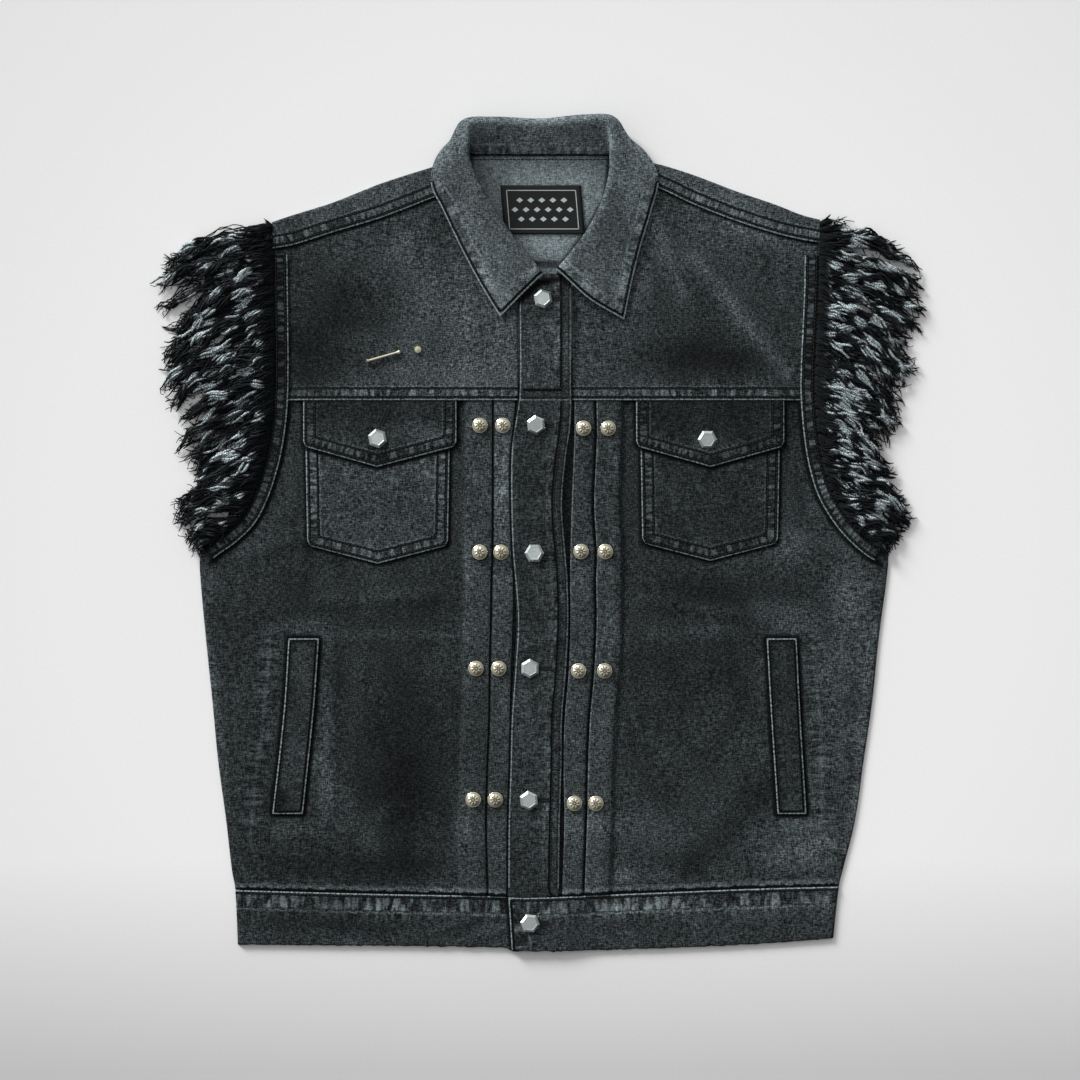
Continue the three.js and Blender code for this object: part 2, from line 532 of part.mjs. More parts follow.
// Welt pockets: a narrow slanting strip set into each front
const WELTS = [
  { y: -93, right0: -218.5, right1: -192, left0: 197, left1: 223 },
  { y: -155, right0: -222.5, right1: -196.5, left0: 200.5, left1: 226 },
  { y: -245.5, right0: -232.5, right1: -206, left0: 206.5, left1: 231.5 },
];
const WELT_LEVELS = [-245.5, -200, -155, -124, -93];
for (const side of ['right', 'left']) {
  add('welt_' + side, cloth(rowsBetween(
    WELT_LEVELS, column(WELTS, 'y', side + '0'), column(WELTS, 'y', side + '1'), range(2),
    (x, y) => layer(2) + lift(x, y),
  )), 'denim');
}

// Armholes: a curve from the shoulder tip to the armpit, with the direction outwards
function armholeCurve(side) {
  const points = ARMHOLES.map((row) => new THREE.Vector3(row[side], row.y, 0));
  return new THREE.CatmullRomCurve3(points, false, 'centripetal');
}
function armholeFrame(side, y) {
  const out = side === 'right' ? -1 : 1;
  const [low, high] = [Math.max(armpitY, y - 3), Math.min(ARMHOLES[0].y, y + 3)];
  const slope = (armholeOf[side](high) - armholeOf[side](low)) / (high - low);
  const outward = new THREE.Vector3(1, -slope, 0).normalize().multiplyScalar(out);
  return { edge: new THREE.Vector3(armholeOf[side](y), y, 0), outward };
}
const ARMHOLE_LEVELS = [-14, -11, 1, 15, 34, 52, 72, 99, 129, 160, 208, 240];
for (const side of ['right', 'left']) {
  const rows = ARMHOLE_LEVELS.map((y) => {
    const { edge, outward } = armholeFrame(side, y);
    return [0.6, ARMHOLE_BAND].map((inwards) => {
      const p = edge.clone().addScaledVector(outward, -inwards);
      const onYoke = smooth((p.y - (YOKE_Y - 6)) / 12);
      return p.setZ(mix(layer(2), Math.max(layer(2), yokeHeight(p.x, p.y) + STEP), onYoke) + 0.4);
    });
  });
  add('armhole_band_' + side, cloth(rows), 'denim');
}

// Fringes: locks of frayed yarn, all fused into a narrow strip just outside the armhole edge.
// across and down give a lock's direction, from the shoulder (at 0) to the armpit (at 1), long its length.
const FRINGES = {
  right: [
    { at: 0, across: 1, down: 0.3, long: 98 },
    { at: 0.15, across: 1, down: 0.36, long: 109 },
    { at: 0.35, across: 1, down: 0.46, long: 111 },
    { at: 0.5, across: 1, down: 0.34, long: 94 },
    { at: 0.65, across: 1, down: 0.18, long: 84 },
    { at: 0.8, across: 1, down: 0.02, long: 62 },
    { at: 0.92, across: 1, down: -0.12, long: 46 },
    { at: 1, across: 1, down: -0.2, long: 20 },
  ],
  left: [
    { at: 0, across: 1, down: 0.42, long: 100 },
    { at: 0.15, across: 1, down: 0.5, long: 104 },
    { at: 0.35, across: 1, down: 0.56, long: 98 },
    { at: 0.5, across: 1, down: 0.5, long: 84 },
    { at: 0.65, across: 1, down: 0.4, long: 70 },
    { at: 0.8, across: 1, down: 0.12, long: 62 },
    { at: 0.92, across: 1, down: -0.02, long: 42 },
    { at: 1, across: 1, down: -0.1, long: 18 },
  ],
};
const LOCKS = 36;            // locks of each strip
const LOCK_R = 1.9;
const STRIP_W = 4;
const FRINGE_HALVES = {
  front: { stripZ: 4.0, stripT: 2.0, rootR: 0.9, bodyZ: 7.0, tipZ: 6.2, steps: 3, seed: 1 },
  back: { stripZ: 1.1, stripT: 1.4, rootR: 0.7, bodyZ: 2.3, tipZ: 1.6, steps: 2, seed: 5 },
};
const uneven = (k, seed) => {
  const wave = Math.sin(k * 12.9898 + seed * 78.233) * 43758.5453;
  return wave - Math.floor(wave);
};

function solid(geometry) {
  const bare = new THREE.BufferGeometry();
  bare.setAttribute('position', geometry.getAttribute('position'));
  bare.setIndex(geometry.index);
  const merged = mergeVertices(bare, 1e-4);
  return new wasm.Manifold(new wasm.Mesh({
    numProp: 3,
    vertProperties: new Float32Array(merged.attributes.position.array),
    triVerts: new Uint32Array(merged.index.array),
  }));
}
function geometryOf(manifold) {
  const mesh = manifold.getMesh();
  const geometry = new THREE.BufferGeometry();
  geometry.setAttribute('position', new THREE.BufferAttribute(new Float32Array(mesh.vertProperties), 3));
  geometry.setIndex(new THREE.BufferAttribute(new Uint32Array(mesh.triVerts), 1));
  return geometry;
}

// A lock is a three-sided tube that tapers to its tip.
function lock(points, radii) {
  const position = [];
  points.forEach((p, j) => {
    const along = points[Math.min(points.length - 1, j + 1)].clone().sub(points[Math.max(0, j - 1)]).normalize();
    const side = new THREE.Vector3(-along.y, along.x, 0).normalize();
    for (const angle of [90, 210, 330]) {
      const a = THREE.MathUtils.degToRad(angle);
      const q = p.clone().addScaledVector(side, radii[j] * Math.cos(a));
      position.push(q.x, q.y, q.z + radii[j] * Math.sin(a));
    }
  });
  const index = [];
  for (let j = 0; j < points.length - 1; j++) {
    for (let k = 0; k < 3; k++) {
      const [a, b] = [3 * j + k, 3 * j + ((k + 1) % 3)];
      index.push(a, b, b + 3, a, b + 3, a + 3);
    }
  }
  const end = 3 * (points.length - 1);
  index.push(0, 2, 1, end, end + 1, end + 2);
  const geometry = new THREE.BufferGeometry();
  geometry.setAttribute('position', new THREE.Float32BufferAttribute(position, 3));
  geometry.setIndex(index);
  return solid(facingOut(geometry));
}

function fringe(side, half) {
  const kind = FRINGE_HALVES[half];
  const table = FRINGES[side];
  const [across, down, long] = ['across', 'down', 'long'].map((name) => column(table, 'at', name));
  const out = side === 'right' ? -1 : 1;
  const [top, bottom] = [ARMHOLES[0].y - 2, armpitY + 3];
  const strip = [bottom, ...ARM_LEVELS.slice(1), 129, 208, top].map((y) => {
    const { edge, outward } = armholeFrame(side, y);
    return [GAP, GAP + STRIP_W].map((d) => edge.clone().addScaledVector(outward, d).setZ(kind.stripZ));
  });
  let whole = solid(cloth(strip, kind.stripT));
  for (let k = 0; k < LOCKS; k++) {
    const at = (k + 0.5) / LOCKS;
    const y = mix(top, bottom, at);
    const { edge, outward } = armholeFrame(side, y);
    const direction = new THREE.Vector3(out * across(at), -down(at), 0).normalize();
    const beside = new THREE.Vector3(-direction.y, direction.x, 0);
    const length = long(at) * mix(0.82, 1, uneven(k, kind.seed));
    const root = edge.clone().addScaledVector(outward, GAP + 0.6 * STRIP_W);
    const points = range(kind.steps).map((t) => {
      const d = t * length;
      const sway = 2.4 * Math.sin(d / 17 + 3.2 * at * Math.PI + kind.seed) * smooth(t * 2.5);
      const rise = smooth((d - 3) / 14);
      const z = mix(mix(kind.stripZ, kind.bodyZ, rise), kind.tipZ, smooth((t - 0.5) * 2));
      return root.clone().addScaledVector(direction, d).addScaledVector(beside, sway).setZ(z);
    });
    const radii = range(kind.steps).map((t) => (t === 0 ? kind.rootR : mix(LOCK_R, 0.7, smooth((t - 0.45) / 0.55))));
    whole = whole.add(lock(points, radii));
  }
  return geometryOf(whole);
}
for (const side of ['right', 'left']) {
  for (const half of ['front', 'back']) add(`fringe_${side}_${half}`, fringe(side, half), 'yarn');
}

// Buttons: a six-sided head with a bevelled rim on a short round shank
function button() {
  const [flat, thick, rim] = [BUTTON_R - 1.2, 2.6, 0.8];
  const head = new THREE.LatheGeometry([
    new THREE.Vector2(0, 1), new THREE.Vector2(BUTTON_R, 1), new THREE.Vector2(BUTTON_R, 1 + thick - rim),
    new THREE.Vector2(flat, 1 + thick), new THREE.Vector2(0, 1 + thick),
  ], 6);
  const shank = new THREE.CylinderGeometry(4.2, 4.2, 1.6, 8);
  shank.translate(0, 0.8, 0);
  const joined = solid(facingOut(weld(head))).add(solid(facingOut(weld(shank))));
  return geometryOf(joined).rotateX(Math.PI / 2);
}
function weld(geometry) {
  const bare = new THREE.BufferGeometry();
  bare.setAttribute('position', geometry.toNonIndexed().getAttribute('position'));
  return mergeVertices(bare, 1e-3);
}
const onPlacket = (x, y) => PLACKET_TOP + DOUBLE / 2 + GAP + lift(x, y);
const BUTTONS = [
  { name: 'button_collar', x: 2.6, y: 202, z: onPlacket, turn: 0.2 },
  { name: 'button_1', x: -3.5, y: 92.5, z: onPlacket, turn: 0.1 },
  { name: 'button_2', x: -4.8, y: -19, z: onPlacket, turn: 0.5 },
  { name: 'button_3', x: -8.7, y: -119, z: onPlacket, turn: 0 },
  { name: 'button_4', x: -9.6, y: -233.5, z: onPlacket, turn: 0.1 },
  { name: 'button_waist', x: -8.7, y: -340, z: () => PLACKET_TOP + BAND_CLOTH / 2 + GAP, turn: 0.4 },
  { name: 'button_pocket_right', x: -141, y: 80.5, z: (x, y) => layer(3) + 0.3 + FLAP_CLOTH / 2 + GAP + lift(x, y),
    turn: 0.2 },
  { name: 'button_pocket_left', x: 145.3, y: 79.8, z: (x, y) => layer(3) + 0.3 + FLAP_CLOTH / 2 + GAP + lift(x, y),
    turn: 0.5 },
];
for (const b of BUTTONS) add(b.name, button(), 'zinc', [b.x, b.y, b.z(b.x, b.y)], b.turn);

// Studs: two on each pleat's row, at four heights
function stud() {
  const profile = [[0, 0], [STUD_R - 0.8, 0], [STUD_R, 0.9], [STUD_R - 2.4, 3.5], [0, 4.3]];
  const dome = new THREE.LatheGeometry(profile.map(([x, y]) => new THREE.Vector2(x, y)), 8);
  return facingOut(weld(dome)).rotateX(Math.PI / 2);
}
const STUD_ROWS = [
  { name: 'a', y: 92, right1: -52.2, right2: -32.2, left1: 37.8, left2: 59.2, leftY: 89.5 },
  { name: 'b', y: -18, right1: -52.2, right2: -33.8, left1: 35.6, left2: 56.8, leftY: -17.5 },
  { name: 'c', y: -119, right1: -55.6, right2: -35.8, left1: 33.5, left2: 56, leftY: -121 },
  { name: 'd', y: -232.8, right1: -57.8, right2: -38.8, left1: 29.8, left2: 48.6, leftY: -236 },
];
for (const row of STUD_ROWS) {
  for (const key of ['right1', 'right2', 'left1', 'left2']) {
    const y = key.startsWith('right') ? row.y : row.leftY;
    const z = layer(3) + CLOTH / 2 + 1.8 * GAP + lift(row[key], y);
    add(`stud_${row.name}_${key}`, stud(), 'silver', [row[key], y, z]);
  }
}

// Chest trim: a plain bar pin with a bead at each end, and a small round bead beside it
const PIN = { x0: -150, x1: -122, y0: 148, y1: 156, r: 1.2, bead: 2.2 };
function pin() {
  const length = Math.hypot(PIN.x1 - PIN.x0, PIN.y1 - PIN.y0);
  const half = length / 2;
  const profile = [[0, -half - PIN.bead], [PIN.bead, -half], [PIN.r, -half + PIN.bead], [PIN.r, half - PIN.bead],
    [PIN.bead, half], [0, half + PIN.bead]];
  const rod = new THREE.LatheGeometry(profile.map(([x, y]) => new THREE.Vector2(x, y)), 8);
  return facingOut(weld(rod)).rotateZ(-Math.PI / 2);
}
const pinX = (PIN.x0 + PIN.x1) / 2;
const pinY = (PIN.y0 + PIN.y1) / 2;
const yokeFace = (x, y) => yokeHeight(x, y) + CLOTH / 2 + 2 * GAP;
add('bar_pin', pin(), 'silver', [pinX, pinY, yokeFace(pinX, pinY) + PIN.bead + GAP],
  Math.atan2(PIN.y1 - PIN.y0, PIN.x1 - PIN.x0));
const BEAD = { x: -106, y: 158, r: 4 };
function bead() {
  const profile = [[0, 0], [BEAD.r - 0.6, 0], [BEAD.r, 0.7], [BEAD.r - 1, 2.2], [0, 2.8]];
  const dome = new THREE.LatheGeometry(profile.map(([x, y]) => new THREE.Vector2(x, y)), 8);
  return facingOut(weld(dome)).rotateX(Math.PI / 2);
}
add('chest_bead', bead(), 'silver', [BEAD.x, BEAD.y, yokeFace(BEAD.x, BEAD.y)]);

export default group;
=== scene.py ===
# %% [markdown]
# # A washed black denim vest, laid flat
#
# The vest lies on its back on a pale floor and is seen from straight above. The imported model
# gives every piece at its real size. This lesson lays fine cloth on those solids, sews it,
# frays the armholes and puts the metal on. Lengths are in millimetres until a mesh is made.

# %% Load the frame
import math
import random
from bisect import bisect_left
from collections import namedtuple

import bmesh
import bpy
import numpy as np
from mathutils import Matrix, Vector, noise
from mathutils.bvhtree import BVHTree


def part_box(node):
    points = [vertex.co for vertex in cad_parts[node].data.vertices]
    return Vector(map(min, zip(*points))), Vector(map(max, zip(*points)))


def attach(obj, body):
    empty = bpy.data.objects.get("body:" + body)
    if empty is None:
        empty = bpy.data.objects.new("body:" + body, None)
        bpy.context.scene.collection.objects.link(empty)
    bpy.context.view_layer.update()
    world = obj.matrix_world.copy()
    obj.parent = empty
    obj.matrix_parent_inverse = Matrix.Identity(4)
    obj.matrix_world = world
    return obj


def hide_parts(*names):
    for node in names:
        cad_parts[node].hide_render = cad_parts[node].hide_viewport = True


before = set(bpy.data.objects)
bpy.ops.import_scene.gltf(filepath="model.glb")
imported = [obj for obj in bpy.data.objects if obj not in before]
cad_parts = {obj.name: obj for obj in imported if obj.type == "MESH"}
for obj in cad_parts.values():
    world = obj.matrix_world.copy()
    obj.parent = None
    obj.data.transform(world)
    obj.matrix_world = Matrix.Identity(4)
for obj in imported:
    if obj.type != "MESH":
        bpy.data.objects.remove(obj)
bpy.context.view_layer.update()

# %% [markdown]
# ## Sizes
#
# A vest is cut flat, so its form is a few outlines in plan and a height for each layer of cloth.
# Each outline is a short table with named columns, and a smooth curve runs through its rows.

# %% Driving sizes, in millimetres
MM = 0.001
CLOTH = 1.2                      # thickness of the denim
GAP = 0.3                        # air between two layers
STEP = CLOTH + GAP
DOUBLE = 2 * CLOTH               # plackets are folded double
BAND_CLOTH = 1.6                 # the waistband's two layers are pressed together
FLAP_CLOTH = 1.8
COLLAR_CLOTH = 2.0
HEM_Y = -310
YOKE_Y = 114
BACK_YOKE_Y = 150
BACK_NECK_Y = 325
BAND_DEPTH = 49
SHOULDER_LAP = 10
PLEAT_DEPTH = 19.2
PLEAT_PITCH = 4.6
ARMHOLE_BAND = 13
ARMPIT_Y = -17
PLACKET_LOW = STEP + DOUBLE / 2
PLACKET_TOP = PLACKET_LOW + DOUBLE + GAP
GRAIN = 3.0                      # spacing of the mesh's rows and columns


def layer(k):
    """Middle height of layer k: 0 is the back, 1 the front, 2 and 3 what is folded or sewn on it."""
    return CLOTH / 2 + k * STEP


def smooth(t):
    """0 below 0, 1 above 1, and a soft step between."""
    t = min(1.0, max(0.0, t))
    return t * t * (3 - 2 * t)


def mix(a, b, t):
    return a + (b - a) * t


def steps(first, last, spacing=GRAIN):
    """Evenly spaced values from first to last, about spacing apart."""
    count = max(1, round(abs(last - first) / spacing))
    return [mix(first, last, k / count) for k in range(count + 1)]


def curve(rows, by, name):
    """Reads one column of a table at any value of another, on a smooth curve through its rows."""
    rows = sorted(rows, key=lambda row: getattr(row, by))
    at = [getattr(row, by) for row in rows]
    value = [getattr(row, name) for row in rows]
    slope = []
    for k in range(len(rows)):
        low, high = max(0, k - 1), min(len(rows) - 1, k + 1)
        slope.append((value[high] - value[low]) / (at[high] - at[low]))

    def read(x):
        x = min(at[-1], max(at[0], x))
        k = min(len(at) - 2, max(0, bisect_left(at, x) - 1))
        span = at[k + 1] - at[k]
        t = (x - at[k]) / span
        return (
            value[k] * (2 * t**3 - 3 * t**2 + 1) + slope[k] * span * (t**3 - 2 * t**2 + t)
            + value[k + 1] * (3 * t**2 - 2 * t**3) + slope[k + 1] * span * (t**3 - t**2)
        )

    return read


# %% The outlines
def table(columns, rows):
    """A short table: its rows, with a name for each column."""
    row = namedtuple("row", columns)
    return [row(*cells) for cells in rows]


SIDES = table("y right left", [
    (-17, -295.5, 303), (-32, -296, 302.5), (-94, -290.5, 294.5), (-147, -285, 289), (-199, -280, 281.5),
    (-251, -273, 274), (-293, -268, 264), (-310, -265, 260), (-364, -262.5, 254.5),
])
ARMHOLES = table("y right left", [
    (268, -233, 243.5), (208, -232, 242.5), (129, -231.5, 239.3), (99, -233.2, 240.8), (72, -237.2, 244),
    (52, -242.2, 248.3), (34, -248.4, 254.6), (15, -258, 266), (1, -272, 278), (-11, -289, 292),
    (-17, -295.5, 303),
])
SHOULDERS = table("x top seam", [
    (-233, 269, 246), (-215, 275, 249), (-180, 286, 260), (-137, 303, 273), (-93, 317, 290),
    (-70, 324, 299), (72, 325, 309), (102, 319.5, 299), (133, 310, 284.5), (170, 296, 270),
    (205, 284, 259), (228, 275, 253.5), (243.5, 271, 251),
])
NECKLINES = table("x top", [
    (-74, 311), (-66, 296), (-42, 258), (-19, 231), (27, 229), (47, 250), (68, 292), (76, 316),
])
FRONT_LINES = table("y outer1 outer2 edge seam inner1 inner2", [
    (224, -42, -22.6, -17.8, 27, 30, 49.6), (127, -42, -22.6, -17.2, 27, 30, 49.4),
    (110, -42, -21.8, -18.5, 27.2, 30, 49.2), (88, -42, -24, -22.2, 26, 30, 49.6),
    (66, -42, -26.4, -24.6, 22.6, 29.4, 48.9), (23, -42, -26.6, -24.8, 19.1, 27.6, 47.2),
    (-20, -42.4, -25.1, -23.3, 22.2, 26.5, 49.6), (-42, -43, -23.6, -21.3, 23.9, 26.1, 48.9),
    (-77, -43.6, -23.9, -19, 24.6, 26.4, 49.4), (-120, -44.6, -25.4, -21.3, 22.6, 25, 47.4),
    (-164, -45.2, -26.4, -24.4, 19.1, 21.3, 43.5), (-207, -46.8, -27.4, -25.5, 18.5, 20.4, 41.8),
    (-251, -47.9, -29, -27, 17.2, 21.2, 41), (-310, -46.5, -29.2, -27.4, 16.3, 19.1, 38.7),
])
WAIST_SAG = table("x sag", [
    (-263, 1.5), (-152, 4.6), (-40, 6.8), (-12, 8), (93, 4.1), (182, 0.5), (256, -1.5),
])
HEM_DROP = table("x drop", [
    (-263, 0), (-30, 2.6), (-24, 5.6), (60, 4.6), (180, 0), (256, -5.5),
])
SAG_REACH = 60
WAY = {"right": 1, "left": -1}   # from each side seam towards the middle
side_of = {side: curve(SIDES, "y", side) for side in WAY}
armhole_of = {side: curve(ARMHOLES, "y", side) for side in WAY}
shoulder_top = curve(SHOULDERS, "x", "top")
shoulder_seam = curve(SHOULDERS, "x", "seam")
neckline = curve(NECKLINES, "x", "top")
line_of = {name: curve(FRONT_LINES, "y", name) for name in FRONT_LINES[0]._fields[1:]}
waist_sag = curve(WAIST_SAG, "x", "sag")
hem_drop = curve(HEM_DROP, "x", "drop")


def settled(x, y):
    """Where a point of the fronts lies once the waist seam has sagged."""
    return y - waist_sag(x) * smooth(1 - (y - HEM_Y) / SAG_REACH)


def outline(side, y):
    """The outer edge of the front at y."""
    return (armhole_of if y > ARMPIT_Y else side_of)[side](y)


print("chest width:", round(outline("left", -32) - outline("right", -32)), "mm")

# %% [markdown]
# ## How the cloth bulges
#
# Cloth that is laid by hand isn't quite flat. Each soft fold is a ridge from one point to another
# with a half width and a height. All layers rise by the same amount at a point, so none cuts another.

# %% The folds
FOLD = "x0 y0 x1 y1 half high"
FOLDS = table(FOLD, [
    (-150, -128, -95, -290, 34, 2.6), (-225, -70, -120, -66, 26, 2.0), (95, -95, 205, -70, 30, 2.2),
    (120, -270, 195, -215, 30, 2.4), (-165, 215, -95, 185, 34, 2.4), (120, 225, 170, 165, 34, 2.6),
    (-190, 60, -80, 30, 60, 1.6), (190, 60, 90, 30, 60, 1.6),
])
CREASES = table(FOLD, [
    (-195, -62, -92, -55, 6, 1.0), (92, -62, 196, -78, 6, 1.3), (-262, -95, -250, -210, 5, 0.9),
    (-128, -205, -84, -262, 6, 1.1), (-170, -262, -120, -240, 7, 0.9), (80, -200, 118, -252, 7, 1.0),
    (240, -60, 262, -150, 6, 1.1), (-190, 235, -140, 205, 7, 1.0), (-120, 262, -88, 228, 6, 1.1),
    (112, 262, 96, 210, 7, 1.2), (176, 236, 208, 190, 7, 0.9), (-225, 96, -212, 20, 5, 0.9),
    (232, 84, 222, 6, 6, 1.0), (-260, -24, -216, -8, 6, 1.0), (262, -22, 214, -2, 6, 1.1),
    (150, -190, 185, -120, 8, 0.8), (-86, -120, -70, -182, 6, 0.7), (72, -95, 88, -160, 6, 0.7),
])
FOLD_LIFT = 1.35                 # every fold is this many times as high as its row says
FLAT_EDGE = 12                   # the fronts lie flat this far from their sides
CALM = 30                        # and a fold dies out over this much beside a seam or the neck


def ridge(folds, x, y):
    """Height of all the folds of a table at a point."""
    high = 0
    for f in folds:
        dx, dy = f.x1 - f.x0, f.y1 - f.y0
        along = min(1, max(0, ((x - f.x0) * dx + (y - f.y0) * dy) / (dx * dx + dy * dy)))
        off = math.hypot(x - f.x0 - along * dx, y - f.y0 - along * dy) / f.half
        if off < 3:
            high += FOLD_LIFT * f.high * math.exp(-off * off)
    return high


def bulge(x, y):
    """How far the front's cloth stands off its flat layer: nothing at its seams, more between them."""
    from_side = abs(outline("right" if x < 0 else "left", y) - x) - FLAT_EDGE
    from_waist = y - HEM_Y - 6
    from_top = shoulder_seam(x) - y - SHOULDER_LAP
    from_neck = math.hypot(x, y - 270) - 95
    from_welt = math.hypot(max(0, 190 - abs(x), abs(x) - 235), max(0, -252 - y, y + 86))
    high = ridge(FOLDS, x, y) * smooth(from_welt / 40) + ridge(CREASES, x, y)
    high += 0.35 + 0.35 * noise.noise((x / 34, y / 46, 0))
    return high * math.prod(smooth(off / CALM) for off in (from_side, from_waist, from_top, from_neck))


print("highest bulge across the chest:", round(max(bulge(x, 150) for x in range(-220, 220, 5)), 2), "mm")

# %% [markdown]
# ## Washes, worn edges and painted shade
#
# Black denim fades where it rubs: over hips, pleats and seams. Each soft fade is an ellipse with
# a change of lightness, and each worn line a soft band. Some fades and lines are painted shade and
# painted highlight instead: the shade beside the collar and the lit and shaded sides of folds. Two
# more things are stored on each vertex: how far it is from the nearest finished edge and how far
# along it, for the worn line, the stitch grooves and the roping, and how far it is from a piece that
# lies on it, for a painted shadow there.

# %% The fades, with painted shade and highlight
MOTTLE, STREAKS = 0.13, 0.09     # shares of the lightness that clouds and streaks give or take
WASH_AND_SHADE_FADES = table("x y wide high turn add", [
    (-104, 222, 34, 50, 0.35, 0.03), (-168, 205, 54, 50, 0, -0.075), (-78, 167, 46, 42, 0, 0.035),
    (-217, 175, 16, 66, 0, -0.03), (-90, 262, 26, 40, 0.5, -0.04), (-190, 156, 38, 30, 0, -0.085),
    (178, 225, 40, 36, 0, -0.025), (94, 240, 22, 54, 0.1, -0.035), (219, 184, 16, 66, 0, -0.03),
    (138, 176, 46, 38, -0.3, -0.05), (148, 148, 84, 18, 0, -0.085), (-60, 140, 60, 16, 0, 0.03),
    (150, 292, 70, 14, -0.35, 0.04), (-150, 292, 70, 14, 0.35, 0.035), (5, 168, 26, 44, 0, 0.03),
    (-165, -150, 24, 82, 0.05, 0.01), (-243, -170, 20, 84, 0.08, 0.004), (-288, -110, 9, 120, 0.04, 0.05),
    (-120, -196, 46, 60, 0, -0.035), (-168, -290, 100, 16, 0, -0.04), (-150, -268, 12, 30, 0.6, 0.03),
    (-82, -290, 24, 40, 0, 0.02), (252, -164, 20, 96, -0.06, 0.07), (178, -150, 24, 90, -0.04, 0.01),
    (139, -262, 90, 34, 0, 0.04), (130, -64, 66, 10, -0.1, 0.025), (-130, -58, 66, 9, 0.06, 0.03),
    (-243, 10, 26, 34, 0.5, 0.02), (250, 45, 12, 50, -0.35, 0.05), (-209, -51, 40, 40, 0, -0.015),
    (272, -60, 20, 60, 0, 0.075), (-190, -336, 90, 14, 0, -0.05), (139, -325, 80, 11, 0, 0.025),
    (-128, -120, 40, 60, 0, -0.012), (120, -130, 50, 60, 0, -0.012), (-160, 80, 26, 16, 0.3, 0.03),
    (-105, 78, 22, 18, 0, 0.04), (150, 78, 40, 14, 0, 0.015), (-5, -185, 24, 66, 0, 0.03),
    (86, 310, 18, 40, 0, 0.085), (-74, 308, 18, 34, 0, -0.06), (0, 344, 70, 14, 0, 0.08),
    (76, 262, 22, 60, 0, 0.055), (150, -48, 70, 12, 0, -0.03), (-31, 36, 8, 60, 0, 0.10),
    (4, 150, 26, 40, 0, 0.025), (50, 36, 20, 70, 0, -0.03), (-52, -177, 18, 60, 0, -0.035),
    (58, -177, 8, 60, 0, 0.02), (235, -282, 30, 20, 0, 0.04), (-226, -236, 9, 12, 0, -0.08),
    (140, -62, 56, 11, 0, -0.05), (-161, 167, 24, 11, 0, 0.05), (-222, 245, 12, 30, 0, -0.045),
    (-209, 132, 30, 12, 0, -0.04), (183, 262, 28, 12, -0.35, 0.08), (26, 162, 14, 22, 0, 0.03),
    (-100, 86, 24, 9, 0, 0.07), (148, 71, 30, 8, 0, 0.055), (148, 127, 60, 9, 0, -0.03),
    (217, -12, 16, 14, 0.4, 0.09), (217, -80, 19, 12, 0, 0.09), (-174, -120, 12, 40, 0, -0.04),
    (-187, -216, 10, 26, 0.2, 0.05), (-124, -236, 34, 56, 0.1, -0.045), (43, -33, 20, 20, 0, 0.035),
    (9, -129, 12, 14, 0, 0.05), (30, -251, 40, 14, 0, 0.04), (78, -299, 34, 9, 0, 0.06),
    (-43, -126, 12, 10, 0, 0.04), (65, -130, 7, 90, 0, 0.025), (117, -233, 20, 22, 0, -0.035),
    (170, -129, 14, 34, 0, -0.035), (248, -181, 11, 40, 0, -0.035), (226, -277, 34, 12, 0.3, 0.05),
    (-110, -62, 50, 12, 0, -0.03), (-217, -113, 16, 20, 0, 0.03), (-200, -199, 9, 20, 0, 0.045),
    (-248, -295, 8, 26, 0, 0.025), (-287, -86, 13, 30, 0, -0.03),
])
WEAR_AND_SHADE_LINES = table("x0 y0 x1 y1 half add", [
    (-184, -94, -188, -250, 5, 0.05), (-237, -86, -186, -80, 6, 0.04), (188, -62, 226, -66, 7, 0.05),
    (-226, -258, -196, -258, 7, 0.05), (206, -258, 236, -256, 7, 0.04), (-205, -48, -192, 40, 3.5, -0.03),
    (-70, 30, -62, -40, 5, 0.03), (66, 96, 66, -20, 4, 0.03), (-60, 96, -61.5, -20, 4, 0.04),
    (-61.5, -20, -65, -300, 4, 0.04), (98, 268, 124, 206, 7, 0.05), (135, 236, 214, 138, 7, 0.075),
    (-70, 236, -64, 180, 6, 0.03), (-100, 268, -150, 222, 8, 0.03), (-98, 240, -108, 200, 8, 0.02),
    (-150, -268, -136, -242, 7, 0.035), (289, -84, 268, -298, 5, 0.07), (-291, -84, -262, -298, 4, 0.03),
    (131, -288, 193, -230, 14, -0.045), (66, -255, 74, -300, 8, 0.03), (-196, -90, -64, -88, 5, 0.035),
    (98, -90, 190, -82, 5, 0.03), (-70, -250, -78, -300, 7, 0.03),
])


def nearest(points, lines):
    """Distance to the nearest of some lines, and how far along it, for each point."""
    best = np.full(len(points), 1000.0)
    arc = np.zeros(len(points))
    run = 0.0
    for line in lines:
        for p, q in zip(line[:-1], line[1:]):
            p, span = np.array(p[:2], float), np.array(q[:2], float) - np.array(p[:2], float)
            length = max(1e-6, float(np.hypot(*span)))
            t = np.clip(((points - p) @ span) / length**2, 0, 1)
            d = np.hypot(*(points - p - t[:, None] * span).T)
            arc = np.where(d < best, run + t * length, arc)
            best = np.minimum(best, d)
            run += length
    return best, arc


def clouds(points, wide, high, seed):
    """Smooth random values round 0, in patches of a width and a height."""
    return np.array([noise.noise((x / wide, y / high, seed)) for x, y in points])


